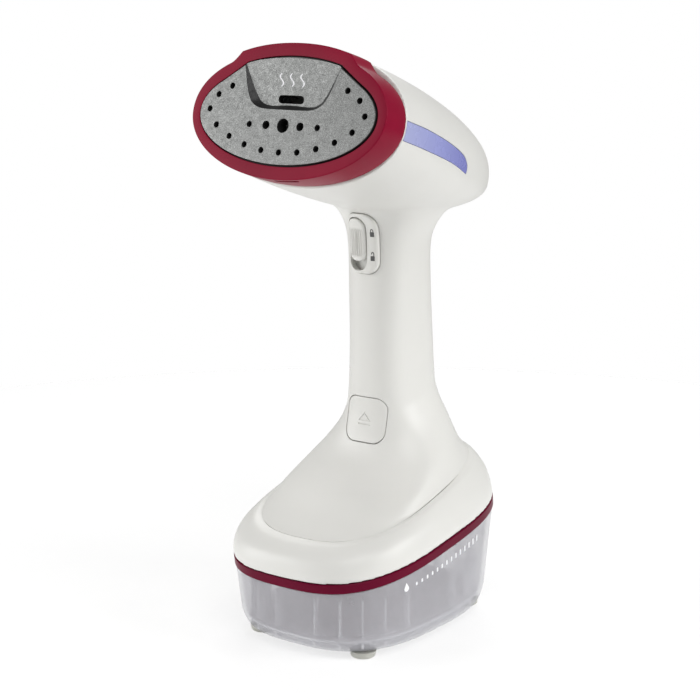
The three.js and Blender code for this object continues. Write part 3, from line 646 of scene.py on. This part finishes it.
# ---- housing ----
# Outlines on the rear and the front of the grip: x, z, half width, half height, corner radius.
COVER = (0, 149, 12.5, 37, 8)
PANEL = (-1, 194.6, 9, 15.2, 6.6)
TRIGGER = (-3.2, 196.5, 4.9, 10.8, 4.4)
POCKET = (-3.2, 194.4, 5.4, 13.5, 4.9)
SPRING_WINDOW = (-3.2, 194.4, 3.8, 5.9, 3.7)
RELEASE = (0, 105, 11.8, 11.3, 6)
PANEL_RISE, TRIGGER_RISE, RELEASE_RISE, WELL_DEPTH = 2.0, 3.2, 0.05, 2.2
RELEASE_GAP = 0.45
LOCK_X, LOCK_ZS = 5.4, (200.4, 188.4)
FRONT_REACH, REAR_REACH = (-14, 25), (-75, -30)   # from and to, before the CAD source's origin
COVER_SCREWS = ((46.8, 126), (42.9, 172))
GLAND_Z = 72
STRIP_TOP = [(17.5, 8.4), (38, 8.7), (60, 7.9), (78, 6.2), (86, 4.1), (90, 0.8), (90.6, -2.2)]
STRIP_BOTTOM = [(90.6, -2.2), (70, -0.6), (40, -0.3), (17.5, -0.4)]
STRIP_MIDDLE, STRIP_FALL = (54, 4.6), 0.1        # a point inside the strip, and how its middle line falls


def strip_prism(side, grow):
    """A bar through one side of the head with the light strip's outline, in depth and height."""
    outline = np.array([*smooth_rows(STRIP_TOP, 5)[:-1], *smooth_rows(STRIP_BOTTOM, 4)])
    past = outline[:, 0] - STRIP_MIDDLE[0]
    middle = STRIP_MIDDLE[1] - past * STRIP_FALL
    outline += grow * np.sign(np.stack([past, outline[:, 1] - middle], 1))
    sideways = Matrix(((0, 0, 1, 0), (0, 1, 0, 0), (-1, 0, 0, 0), (0, 0, 0, 1)))
    low, high = (24, 64) if side > 0 else (-64, -24)
    return prism(outline, low, high, HEAD_FRAME @ sideways)


def grip_prism(shape, grow=0.0, reach=FRONT_REACH):
    x, z, half_width, half_height, corner = shape
    outline = rounded_box(x, z, half_width + grow, half_height + grow, corner + grow)
    return prism(outline, *reach, FACING_FRONT)


def tree_of(obj):
    graph = bpy.context.evaluated_depsgraph_get()
    bpy.context.view_layer.update()
    return BVHTree.FromObject(obj, graph)


def nearest_distances(tree, points):
    return np.array([tree.find_nearest(Vector(p))[3] for p in points])


NECK_LOW = 188                    # the softened part of the grip starts at this height
NECK_REACH = 8                    # and fades out about this far from grip and head
NECK_ROUNDS = 90


def soften_neck(skin, body, head):
    """Rounds the meeting of grip and head into one flowing surface."""
    points = coordinates(skin)
    near = np.flatnonzero(points[:, 2] > NECK_LOW)
    far = np.maximum(nearest_distances(tree_of(body), points[near]),
                     nearest_distances(tree_of(head), points[near]))
    weights = np.zeros(len(points))
    weights[near] = np.clip(1.3 - far / NECK_REACH, 0, 1)
    relax(skin, weights, NECK_ROUNDS)


# The fold round the dome, by the angle from the front in degrees: the depth of a soft dip and of a fine
# groove, both faint at the corners.
FOLD_ANGLES = (0, 20, 34, 56, 70, 96, 110, 180)
FOLD_DIPS = (0.35, 0.3, 0.05, 0.03, 0.08, 0.4, 0.0, 0.0)
FOLD_GROOVES = (0.9, 0.8, 0.1, 0.06, 0.1, 1.2, 0.1, 0.1)
FOLD_WIDTH = 1.6
FOLD_REACH = 5
FOLD_HEIGHTS = (50, 96)
GROOVE_DEEP = 0.3                 # from this depth on the groove is wide
GROOVE_HALVES = (0.12, 0.26)      # half its width where it is shallow and where it is deep


def fold_line(count):
    """The fold's ring, and each point's angle from the front in degrees."""
    ring = station_ring(DOME_AND_GRIP[0], count)
    away = np.degrees(np.abs((ring_angles(count) + math.pi / 2 + math.pi) % (2 * math.pi) - math.pi))
    return ring, away


def press_fold(skin):
    ring, away = fold_line(720)
    depths = np.interp(away, FOLD_ANGLES, FOLD_DIPS)
    line = KDTree(len(ring))
    for i, point in enumerate(ring):
        line.insert(point, i)
    line.balance()
    points = coordinates(skin)
    normals = np.empty(len(points) * 3)
    skin.data.vertices.foreach_get("normal", normals)
    normals = normals.reshape(-1, 3)
    for i in np.flatnonzero((points[:, 2] > FOLD_HEIGHTS[0]) & (points[:, 2] < FOLD_HEIGHTS[1])):
        _, nearest, distance = line.find(points[i])
        if distance < FOLD_REACH:
            points[i] -= normals[i] * depths[nearest] * math.exp(-(distance / FOLD_WIDTH) ** 2)
    set_coordinates(skin, points)


def fold_groove():
    """A thin blade all along the fold on the finished skin, to be cut from it."""
    ring, away = fold_line(360)
    depths = np.interp(away, FOLD_ANGLES, FOLD_GROOVES)
    hits = [SKIN_TREE.find_nearest(Vector(point)) for point in ring]
    sections = []
    for i, (middle, up, *_) in enumerate(hits):
        along = (hits[(i + 1) % len(hits)][0] - hits[i - 1][0]).normalized()
        half = along.cross(up).normalized() * GROOVE_HALVES[int(depths[i] > GROOVE_DEEP)]
        low, high = middle - up * float(depths[i]), middle + up * 0.6
        sections.append([low + half * 0.4, high + half, high - half, low - half * 0.4])
    return loft(sections, ring_loop=True)


def make_skin():
    """The smooth outside of base, grip and head, before anything is cut from it."""
    body, head = body_loft(), head_loft()
    skin = remeshed(join(copy_of(body), copy_of(head)), 0.75)
    relax(skin, np.ones(len(skin.data.vertices)), 4)
    soften_neck(skin, body, head)
    press_fold(skin)
    bpy.data.objects.remove(body)
    bpy.data.objects.remove(head)
    return skin


SKIN = make_skin()
SKIN_TREE = tree_of(SKIN)
CAVITY = cavity()


def front_y(x, z):
    """Y of the housing's front surface at x, z."""
    hit = SKIN_TREE.ray_cast(Vector((x, -40, z)), Vector((0, 1, 0)))[0]
    return hit.y if hit else 0.0


def draped(shape, profile, back, height=None, points=160):
    """A control that follows the housing's front: rings of its outline, each inset and raised as
    profile says, from its edge to its middle. height may add to the raise of a point at x, z."""
    x, z, half_width, half_height, corner = shape
    rings = []
    for inset, rise in profile:
        shrink = min(inset, half_width - 0.05)
        outline = rounded_box(x, z, half_width - shrink, max(half_height - inset, 0.05),
                              max(corner - shrink, 0.04), points // 8, points // 8)
        rings.append([(px, front_y(px, pz) - rise - (height(px, pz, inset) if height else 0), pz)
                      for px, pz in outline])
    edge = np.array(rings[0])
    edge[:, 1] += back
    return loft([edge, *rings])


def edge_profile(rise, radius, reach, steps=5, rings=10):
    """Inset and raise of a rounded edge, then of the flat inside it."""
    turn = np.linspace(0, math.pi / 2, steps)
    rounded = [(radius * (1 - math.cos(t)), rise - radius * (1 - math.sin(t))) for t in turn]
    return rounded + [(i, rise) for i in np.linspace(radius, reach, rings)[1:]]


def make_housing():
    gland = bar((0, 56, GLAND_Z), (0, 92, GLAND_Z), 5.2 + GAP)
    shell = cut(copy_of(SKIN), copy_of(CAVITY), grip_prism(COVER, GAP, REAR_REACH),
                grip_prism(PANEL, GAP), grip_prism(RELEASE, RELEASE_GAP), strip_prism(1, GAP),
                strip_prism(-1, GAP), gland, fold_groove())
    finished(shell, "housing_shell", "housing", "white_plastic", ["main_housing"])
    cover = common(cut(copy_of(SKIN), copy_of(CAVITY)), grip_prism(COVER, -0.05, REAR_REACH))
    holes = [turned([(0, 1.9), (9, 1.9), (9, 3.4), (16, 3.4)], (0, y - 10, z), (0, y, z))
             for y, z in COVER_SCREWS]
    finished(cut(cover, *holes), "grip_rear_cover", "housing", "white_plastic", ["rear_cover"])


def make_strips():
    for side, word in ((1, "right"), (-1, "left")):
        strip = cut(common(head_loft(0.12), strip_prism(side, 0)), head_loft(WALL, BEZEL_DEPTH - 2))
        finished(strip, f"light_guide_{word}", "housing", "light_plastic", [f"light_strip_{word}"], 50)


RIB_PITCH, RIB_RISE = 1.15, 0.45
RIBS_LOWER, RIBS_HALF, RIBS_FADE = 1.5, 7.6, 1.2     # below the switch's middle, half height, fading ends
DISH_DEPTH, DISH_HALF = 0.55, 8.5


def ribs(x, z, inset):
    """Fine upright ribs on the thumb switch, and a shallow dish across them."""
    tx, tz = TRIGGER[0], TRIGGER[1] - RIBS_LOWER
    fade = min(1, max(0, (RIBS_HALF - abs(z - tz)) / RIBS_FADE)) * min(1, max(0, (inset - 0.8) / 0.5))
    wave = 0.5 + 0.5 * math.cos(2 * math.pi * (x - tx) / RIB_PITCH)
    dish = -DISH_DEPTH * max(0, 1 - ((z - tz) / DISH_HALF) ** 2)
    return fade * RIB_RISE * wave + dish * min(1, inset / 1.5)


def padlock(x, z, open_shackle):
    """The outlines of a small printed padlock, round its middle at x, z."""
    lift = 0.5 if open_shackle else 0.0
    body = filleted(corners(x - 1.1, z - 2, x + 1.1, z + 0.4), 0.25)
    turn = np.linspace(0, math.pi, 14)
    shackle = [(x + wide * math.cos(t), z + 0.7 + lift + high * math.sin(t))
               for wide, high, angles in ((0.85, 1.3, turn), (0.45, 0.85, turn[::-1])) for t in angles]
    legs = [corners(middle - 0.2, z + 0.35, middle + 0.2, z + 0.75 + lift)
            for middle in ((x + 0.65,) if open_shackle else (x + 0.65, x - 0.65))]
    return body, shackle, *legs


def printed(name, outlines, rise, ink):
    """Flat marks that follow the housing's front, standing a hair above it."""
    marks = []
    for outline in outlines:
        front = [(x, front_y(x, z) - rise - 0.1, z) for x, z in outline]
        marks.append(slab(front, [(x, y + 0.4, z) for x, y, z in front]))
    finished(together(*marks), name, "housing", "white_plastic", material=ink)


def make_switch():
    """The raised plate, the thumb switch in its pocket, and the padlocks beside it."""
    panel = draped(PANEL, edge_profile(PANEL_RISE, 1.4, 8.9, 7, 16), 3.8)
    panel = cut(panel, grip_prism(POCKET))
    finished(panel, "switch_plate", "housing", "white_plastic", ["switch_panel"])
    well = cut(draped(POCKET, edge_profile(-WELL_DEPTH, 0.1, 5.3, 3, 5), 1.2), grip_prism(SPRING_WINDOW))
    x, z = TRIGGER[:2]
    switch = draped(TRIGGER, edge_profile(TRIGGER_RISE, 1.3, 4.85, 7, 26), 1.5, ribs, 240)
    switch = join(switch, bar((x, 0.5, z), (x, 11, z), 2.2))
    finished(switch, "thumb_switch", "steam_trigger", "white_plastic", ["steam_trigger"], 40)
    finished(well, "switch_well", "housing", "white_plastic")
    locks = [*padlock(LOCK_X, LOCK_ZS[0], False), *padlock(LOCK_X, LOCK_ZS[1], True)]
    printed("lock_marks", locks, PANEL_RISE, INK)


def make_release():
    """The release button, with a triangle over a bar sunk into it."""
    z = RELEASE[1]
    button = draped(RELEASE, edge_profile(RELEASE_RISE, 0.45, 11.2, 5, 14), 2.2, None, 200)
    button = join(button, bar((0, 0, z), (0, 5.7, z), 3))
    triangle = [(-3.7, z - 0.7), (3.7, z - 0.7), (0, z + 3.8)]
    inner = [(-2.3, z - 0.05), (2.3, z - 0.05), (0, z + 2.7)]
    below = corners(-3.7, z - 2.7, 3.7, z - 2.0)
    button = cut(button, engraving(triangle, inner), engraving(below))
    finished(button, "release_key", "release_button", "white_plastic", ["release_button"], 40)


def engraving(outline, island=None, depth=0.32):
    """A shallow cutter that follows the housing's front; island is left standing inside it."""
    def drum(points, low, high):
        fine = [np.array(a) + (np.array(b) - np.array(a)) * t
                for a, b in zip(points, points[1:] + points[:1]) for t in (0, 0.25, 0.5, 0.75)]
        rings = [[(x, front_y(x, z) + offset, z) for x, z in fine] for offset in (low, high)]
        return loft(rings)
    tool = drum(outline, depth, -2)
    return cut(tool, drum(island, depth + 1, -3)) if island else tool


# ---- head front ----
PLATE_HALF, PLATE_LOW, PLATE_HIGH = 50.8, -18.5, 28.6
CROWN_LIFT = 3.4
RIM_GROW = 5.6
RIM_EXTRA = 1.4
# Three pairs, at the plate's edge and at the rim's outside: the crown's reach, how far it takes to come
# down, and how full the outline's upper half is.
CROWN_HALF = (26.5, 32)
CROWN_SLOPE = (14, 5)
SHOULDER_POWER = (2, 2.12)
HOLES = [(33.5, 17.3), (40.9, 13), (45, 6), (39.5, -1.5), (30.7, -6.5), (20.9, -10), (10.5, -12.1)]


def plate_outline(grow, extra=0.0, count=240):
    low, high = PLATE_LOW - extra, PLATE_HIGH + extra
    angles = ring_angles(count)
    share = min(1, max(0, grow / RIM_GROW))
    half, slope, p = (a + (b - a) * share for a, b in (CROWN_HALF, CROWN_SLOPE, SHOULDER_POWER))
    fullness = np.where(angles < math.pi, 2 / p, 1)
    x = (PLATE_HALF + grow) * power(np.cos(angles), fullness)
    y = ((high - low) / 2 + grow) * power(np.sin(angles), fullness)
    lift = np.where(y > 0, CROWN_LIFT * (1 - np.clip((np.abs(x) - half) / slope, 0, 1)) ** 1.6, 0)
    return np.stack([x, (low + high) / 2 + y + lift], 1)


def head_section(outline, depth):
    return moved(np.column_stack([outline, np.full(len(outline), -depth)]), HEAD_FRAME)


# Sections of the rim and the seal: how far outside the plate's outline, and how deep.
BEZEL_PROFILE = [
    (0.65, 3), (0.65, 0.4), (0.72, 0.12), (1.0, 0), (2.8, -0.04), (4.9, 0), (5.16, 0.06), (5.32, 0.22),
    (5.4, 0.5), (5.55, 4), (5.66, 9), (5.55, 13), (5.3, 15.7), (5.0, 16), (3.2, 16), (3.0, 15.8), (3.0, 3),
]
SEAL_PROFILE = [(0.05, 1.6), (0.6, 1.6), (0.6, 3.2), (0.05, 3.2)]
RIM_SLOT = (4.5, -24, -3)         # the slot's middle in the head's frame


def rim_slot():
    """The pry slot in the rim's underside, near its face."""
    place = HEAD_FRAME @ Matrix.Translation(RIM_SLOT) @ Matrix.Rotation(math.pi / 2, 4, "X")
    return prism(rounded_box(0, 0, 7, 1.2, 1.1), -3, 3, place)


def make_bezel():
    rings = [head_section(plate_outline(grow, RIM_EXTRA if grow > 1 else 0), depth)
             for grow, depth in BEZEL_PROFILE]
    bezel = cut(loft(rings, ring_loop=True), rim_slot())
    finished(bezel, "steam_head_rim", "housing", "crimson_plastic", ["head_bezel"], 40)
    rings = [head_section(plate_outline(grow), depth) for grow, depth in SEAL_PROFILE]
    finished(loft(rings, ring_loop=True), "plate_gap_seal", "housing", "dark_rubber")


def steam_hole(x, y, radius):
    """A bore through the plate with a small chamfer."""
    profile = [(0, radius), (7.55, radius), (8.35, radius + 0.35), (9.4, radius + 0.35)]
    start, end = moved([(x, y, -7.4), (x, y, 2)], HEAD_FRAME)
    return turned(profile, start, end, 32)


# The right half of the scoop's outline on the plate, from the middle of its lower edge.
SCOOP_RIGHT = [(0, 7.1), (6, 7.1), (12, 7.2), (16.5, 7.9), (20.4, 10), (23, 13.6), (25.3, 19.2),
               (27.6, 26.8), (29.4, 33), (31, 42)]
SCOOP_TOP = 31                    # where its floor comes up to the plate's face
SCOOP_CENTRE = (0, 24)
SCOOP_LEAN = math.tan(math.radians(8.8))
SCOOP_WALLS = ((7, 12, 20), (0.75, 1.1, 1.25))   # height on the plate, and a wall's width over its depth
PLATE_PROUD = 0.8


def scoop():
    """The sunk panel above the holes: sloping walls down to a floor that leans back to the top edge."""
    right = smooth_rows(SCOOP_RIGHT, 8)
    outline = np.vstack([right, (right * (-1, 1))[:0:-1]])
    level = (outline[:, 1] - SCOOP_TOP) * SCOOP_LEAN
    inward = (SCOOP_CENTRE - outline) / np.linalg.norm(SCOOP_CENTRE - outline, axis=1)[:, None]
    reach = np.maximum(-level, 0) * np.interp(outline[:, 1], *SCOOP_WALLS)
    floor = outline + inward * reach[:, None]
    rings = [(outline, np.full(len(outline), 4.0)), (outline, np.maximum(level, 0) + 0.05),
             (floor, (floor[:, 1] - SCOOP_TOP) * SCOOP_LEAN)]
    return loft([moved(np.column_stack([flat, PLATE_PROUD + up]), HEAD_FRAME) for flat, up in rings])


HOLE, NEAR_HOLE, MIDDLE_HOLE = 1.25, 1.75, 3.1    # radii


def make_plate():
    profile = [(0, 5.3), (0, -0.35), (-0.15, -0.65), (-0.5, -PLATE_PROUD)]
    plate = loft([head_section(plate_outline(grow), depth) for grow, depth in profile])
    flange = loft([head_section(plate_outline(2), depth) for depth in (3.3, 5.3)])
    bores = [steam_hole(s * x, y, HOLE) for x, y in HOLES for s in (1, -1)]
    bores += [steam_hole(s * x, -0.3, r) for x, r in ((19.8, HOLE), (9.9, NEAR_HOLE)) for s in (1, -1)]
    bores += [steam_hole(0, -12.7, HOLE), steam_hole(0, -0.2, MIDDLE_HOLE)]
    slot = prism(rounded_box(0.2, 12.6, 7.4, 1.9, 1.85), -8, 4, HEAD_FRAME)
    plate = cut(join(plate, flange), scoop(), slot, *bores)
    finished(plate, "soleplate", "housing", "plate_coating", ["steam_plate"], 25)


def make_steam_mark():
    """Three wavy lines on the scoop's floor, a generic sign for steam."""
    t = np.linspace(0, 1, 25)
    marks = []
    for middle in (-6, 0, 6):
        centre = np.stack([middle + 1.1 * np.sin(t * 2 * math.pi), 18.3 + 6.2 * t], 1)
        wide = np.stack([0.42 * np.sqrt(np.clip(1 - (2 * t - 1) ** 8, 0.05, 1)), 0 * t], 1)
        outline = np.vstack([centre + wide, (centre - wide)[::-1]])
        level = PLATE_PROUD - (SCOOP_TOP - outline[:, 1]) * SCOOP_LEAN
        marks.append(slab(*[moved(np.column_stack([outline, level + lift]), HEAD_FRAME)
                            for lift in (-0.3, 0.05)]))
    finished(together(*marks), "steam_mark", "housing", "plate_coating", material=PALE_INK)


# ---- tank ----
BAND = 5                          # height of the crimson band under the housing
LIFT = 3.6                        # the tank's underside, over the floor it stands on
TANK_WALL = 1.8
TANK_RING = 200                   # points round the tank
SOCKET = (-19, 20)                # the water valve's X, and its place along the base
FOOT_PLACES = ((31, -45), (-31, -45), (31, 48), (-31, 48))
BASE_SCREWS = ((32, -43), (-32, -43), (34, 42), (-34, 42))
FILLER_Y, FILLER_Z, FILLER_R = 69.9, 38, 11.4
HINGE_Y, HINGE_Z, PIN_R = 72.4, 23.4, 1.1


def hinge_bar(half, radius, sides):
    """A bar on the filler flap's hinge line."""
    return bar((-half, HINGE_Y, HINGE_Z), (half, HINGE_Y, HINGE_Z), radius, sides)


def tank_loft(rows):
    return loft([station_ring(row, TANK_RING) for row in rows])


def base_slab(low, high, inset, edge=0.0):
    rows = [base_station(low, inset + edge), base_station(low + edge, inset),
            base_station(high - edge, inset), base_station(high, inset + edge)]
    return tank_loft(rows if edge else rows[::3])


def base_place(x, along, up):
    return tuple(BASE_FRAME @ Vector((x, along, up)))


def tank_rows(inset):
    low = [(-57, LIFT, 59, LIFT, 43.5, 2.8, 0.5), (-60.8, 4.6, 62.4, 4.6, 46.2, 2.85, 0.5),
           (-63, 7, 64.5, 7, 47.7, 2.9, 0.5), (-65, 10.3, 65.9, 10.3, 48.6, 2.93, 0.5),
           (-66.2, 14, 66.8, 14, 49.2, 2.95, 0.5)]
    rows = [*smooth_rows(low, 5), base_station(-BAND - 0.25, 0.5)]
    if not inset:
        return rows
    rows = [inset_station(row, inset) for row in rows]
    lifted = [(r[0], max(r[1], LIFT + inset), r[2], max(r[3], LIFT + inset), *r[4:]) for r in rows[3:-1]]
    return [*lifted, inset_station(base_station(-BAND + 2, 0.5), inset)]


def tank_floor():
    """The raised floor inside the tank, with rounded edges."""
    middle, edge = (-62.9, 63.6, 46.4), (-62.2, 63, 45.9)
    rows = [(front, up, rear, up, half, 2.9, 0.5)
            for up, (front, rear, half) in ((8.8, edge), (9.4, middle), (10.2, middle), (10.6, edge))]
    return tank_loft(rows)


def make_tank():
    shell = cut(tank_loft(tank_rows(0)), tank_loft(tank_rows(TANK_WALL)))
    lugs = [block((s * 8.5 - 1.5, FILLER_Y - 2.6, HINGE_Z - 2), (s * 8.5 + 1.5, HINGE_Y + 1.6, HINGE_Z + 2))
            for s in (-1, 1)]
    bore = bar((0, FILLER_Y - 6, FILLER_Z), (0, FILLER_Y + 6, FILLER_Z), FILLER_R, 72)
    shell = cut(join(shell, *lugs), bore, hinge_bar(14, PIN_R, 24))
    make_tank_marks(tree_of(shell))
    finished(shell, "tank_body", "tank", "tank_plastic", ["tank_shell"], 35)
    finished(tank_floor(), "tank_inner_floor", "tank", "tank_plastic", material=MILKY)
    make_ribs()


def make_feet():
    profile = [(0, 4.9), (0.25, 5.6), (0.8, 6.05), (2.4, 6.4), (3.1, 6.55), (3.3, 6.5)]
    for i, (x, y) in enumerate(FOOT_PLACES):
        foot = turned(profile, (x, y, 0), (x, y, 3.3), 56)
        finished(foot, f"foot_{i + 1}", "tank", "silicone", [f"tank_foot_{i + 1}"])


MARKS_LOW = -13.4                 # the marks' lower edge, under the CAD source's base plane
DROP_AT, DROP_R, DROP_HIGH = -36, 1.5, 4.6
BARS, BARS_FROM, BAR_STEP = 14, -29, 4.2         # along the wall


def make_tank_marks(wall):
    """A drop and a row of growing bars printed on the tank's right wall, below its cover."""
    drop = [(DROP_AT + DROP_R * math.cos(t), MARKS_LOW + DROP_R + DROP_R * math.sin(t))
            for t in np.linspace(2.6, 6.82, 16)]
    outlines = [[*drop, (DROP_AT, MARKS_LOW + DROP_HIGH)]]
    for i in range(BARS):
        along, half = BARS_FROM + BAR_STEP * i, 0.9 + 0.07 * i
        outlines.append(rounded_box(along, MARKS_LOW + 0.5 + half, 0.6, half, 0.55, 4, 3))
    marks = []
    for outline in outlines:
        places = [BASE_FRAME @ Vector((0, along, up)) for along, up in outline]
        hits = [wall.ray_cast(Vector((80, y, z)), Vector((-1, 0, 0)))[0] for _, y, z in places]
        marks.append(slab(*[[hit + Vector((out, 0, 0)) for hit in hits] for out in (0.07, -0.5)]))
    finished(together(*marks), "tank_marks", "tank", "tank_plastic", material=PALE_INK)


# Low end, high end, half thickness and how far the top leans in: a short rib below the inner floor and
# a tall fin above it.
FINS = ((5.9, 8.7, 0.45, 0.0), (10.7, 30, 0.315, 0.22))
FIN_DEPTH = (0.25, 4.5)           # from and to, inside the fins' ring


def make_ribs():
    """Short ribs between the inner floor and the rounded lower edge, and taller fins above the floor."""
    ring = station_ring((-62.4, 0, 63.2, 0, 46, 2.9, 0.5), 360)
    fins = []
    for x, y, _ in ring[8::16]:
        out = Vector((x, y - 0.4, 0)).normalized()
        near, far = (Vector((x, y, 0)) - out * depth for depth in FIN_DEPTH)
        for low, high, thick, lean in FINS:
            side = Vector((-out.y, out.x, 0)) * thick
            foot = [near - side, near + side, far + side, far - side]
            fins.append(slab([c + Vector((0, 0, low)) for c in foot],
                             [c - out * lean + Vector((0, 0, high)) for c in foot]))
    finished(together(*fins), "tank_fins", "tank", "tank_plastic", material=MILKY)


def make_lid():
    pan = cut(base_slab(-BAND, -GAP, 0, 0.35), base_slab(-BAND + 2, 2, 3))
    skirt = cut(base_slab(-BAND - 2.6, -BAND + 0.5, 4.3), base_slab(-BAND - 4, -BAND + 0.2, 6))
    latch_slot = block((-6.5, -1, 38), (6.5, 15.5, 60))
    valve_hole = bar(base_place(*SOCKET, -12), base_place(*SOCKET, 2), 8.3)
    lid = cut(join(pan, skirt), latch_slot, valve_hole)
    finished(lid, "tank_cover", "tank", "crimson_plastic", ["tank_lid"], 40, BAND_PLASTIC)


def make_filler():
    """The stopper in the tank's rear wall, on a flap that turns about a pin below it."""
    lean = Matrix.Translation((0, FILLER_Y, FILLER_Z)) @ Matrix.Rotation(math.radians(-6.3), 4, "X")

    def at(x, y, z):
        return tuple(lean @ Vector((x, y, z)))

    plug = turned([(0, 9.8), (0.8, 10.6), (5, 10.6)], at(0, -4, 0), at(0, 1, 0), 72)
    disc = turned([(0, 13.3), (0.3, 13.6), (1.5, 13.5), (2.0, 13.1), (2.2, 12.6), (1.9, 11.2), (1.8, 10.4)],
                  at(0, 0.7, 0), at(0, 2.9, 0), 72)
    tab = prism(rounded_box(0, 14, 7, 3.4, 2.2), -2.7, -0.9, lean @ FACING_FRONT)
    grip = [bar(at(-4.5, 2.7, h), at(4.5, 2.7, h), 0.35, 16) for h in (14.4, 15.6)]
    arm = block((-6.4, HINGE_Y - 1, HINGE_Z), (6.4, HINGE_Y + 1, HINGE_Z + 3))
    cap = cut(join(plug, disc, tab, *grip, hinge_bar(6.4, 2.2, 40), arm), hinge_bar(8, PIN_R, 24))
    finished(cap, "filler_stopper", "filler_cap", "dark_rubber", ["filler_cap"], 35)


def make_gland():
    z = GLAND_Z
    profile = [(0, 5.2), (12, 5.1), (12, 6.9), (12.3, 7.2), (13.7, 7.2), (14, 6.9), (14, 5.0), (17.4, 4.8),
               (18, 4.4)]
    body = cut(turned(profile, (0, 60, z), (0, 78, z), 64), bar((0, 59, z), (0, 80, z), 3.4))
    finished(body, "cord_collar", "housing", "dark_rubber", ["cord_gland"])


def screw(name, tip, top, node):
    """A pan head screw with a cross recess."""
    a, b = Vector(tip), Vector(top)
    length = (b - a).length
    neck = length - 1.8
    profile = [(0, 0.2), (1.2, 1.25), (neck, 1.5), (neck, 3.0), (neck + 0.9, 2.95), (neck + 1.5, 2.5),
               (length, 1.6)]
    turn = Matrix.Translation(b) @ (b - a).to_track_quat("Z", "Y").to_matrix().to_4x4()
    cross = [block((-x, -y, -1.1), (x, y, 0.6), turn) for x, y in ((1.7, 0.32), (0.32, 1.7))]
    finished(cut(turned(profile, a, b, 32), *cross), name, "housing", "steel", [node], 35)


def make_screws():
    for i, (y, z) in enumerate(COVER_SCREWS):
        screw(f"cover_fixing_{i + 1}", (0, y - 13, z), (0, y + 0.9, z), f"cover_screw_{i + 1}")
    for i, (x, along) in enumerate(BASE_SCREWS):
        tip, top = base_place(x, along, 11), base_place(x, along, -1.5)
        screw(f"base_fixing_{i + 1}", tip, top, f"base_screw_{i + 1}")


make_housing()
make_strips()
make_switch()
make_release()
make_bezel()
make_plate()
make_steam_mark()
make_tank()
make_feet()
make_lid()
make_filler()
make_gland()
make_screws()
for tool in (SKIN, CAVITY):
    bpy.data.objects.remove(tool)

# ---- stage ----
FLOOR_RADIUS = 0.6
FLOOR_SEEN = 0.4                  # how opaque the table is to the camera and the lights
FLOOR_GLOW = 0.2
FILL = 0.22                       # strength of the white fill from all round
LIGHT_REACH, LIGHT_TARGET = 1.4, Vector((0, 0, 0.15))
LIGHTS = (                        # name, azimuth, height, watts, size
    ("front_left", -50, 12, 11, 1.0), ("front_right", 50, 50, 6.6, 0.8),
    ("right", 105, 22, 10, 0.8), ("rear_left", -150, 40, 5.5, 0.8),
)


def make_floor():
    """A round pale table that glows a little. The camera and the lights reach partly through it, so
    that the tank still shows once it has slid down below."""
    floor = new_object("floor", [(FLOOR_RADIUS * math.cos(t), FLOOR_RADIUS * math.sin(t), -0.0001)
                                 for t in ring_angles(96)], [tuple(range(96))])
    pale = moulded("pale_floor", (0.985, 0.985, 0.985), 0.7, 0.003)
    pale.fix("Specular IOR Level", 0.1)
    pale.fix("Emission Color", (1, 1, 1, 1))
    pale.fix("Emission Strength", FLOOR_GLOW)
    rays = pale.node("ShaderNodeLightPath")
    reaching = pale.node("ShaderNodeMath", operation="MAXIMUM")
    pale.link(rays.outputs["Is Camera Ray"], reaching.inputs[0])
    pale.link(rays.outputs["Is Shadow Ray"], reaching.inputs[1])
    pale.feed("Alpha", pale.spread(reaching.outputs["Value"], 1, FLOOR_SEEN, 0, 1))
    floor.data.materials.append(pale.material)


def make_world():
    """White paper to the camera, and a weak even fill to everything else."""
    world = bpy.data.worlds.new("studio")
    world.use_nodes = True
    bpy.context.scene.world = world
    tree = world.node_tree
    fill, paper = tree.nodes["Background"], tree.nodes.new("ShaderNodeBackground")
    fill.inputs["Strength"].default_value = FILL
    for background in (fill, paper):
        background.inputs["Color"].default_value = (1, 1, 1, 1)
    path = tree.nodes.new("ShaderNodeLightPath")
    choice = tree.nodes.new("ShaderNodeMixShader")
    tree.links.new(path.outputs["Is Camera Ray"], choice.inputs["Fac"])
    tree.links.new(fill.outputs["Background"], choice.inputs[1])
    tree.links.new(paper.outputs["Background"], choice.inputs[2])
    tree.links.new(choice.outputs["Shader"], tree.nodes["World Output"].inputs["Surface"])


def area_light(name, azimuth, height, watts, size):
    """A round soft light that looks at the object's middle, azimuth and height in degrees."""
    a, e = math.radians(azimuth), math.radians(height)
    away = Vector((math.sin(a) * math.cos(e), -math.cos(a) * math.cos(e), math.sin(e)))
    light = bpy.data.objects.new(name, bpy.data.lights.new(name, "AREA"))
    light.data.shape, light.data.size, light.data.energy = "DISK", size, watts
    light.location = LIGHT_TARGET + LIGHT_REACH * away
    light.rotation_euler = (-away).to_track_quat("-Z", "Y").to_euler()
    bpy.context.scene.collection.objects.link(light)


bpy.context.scene.view_settings.view_transform = "Standard"
make_floor()
make_world()
for settings in LIGHTS:
    area_light(*settings)
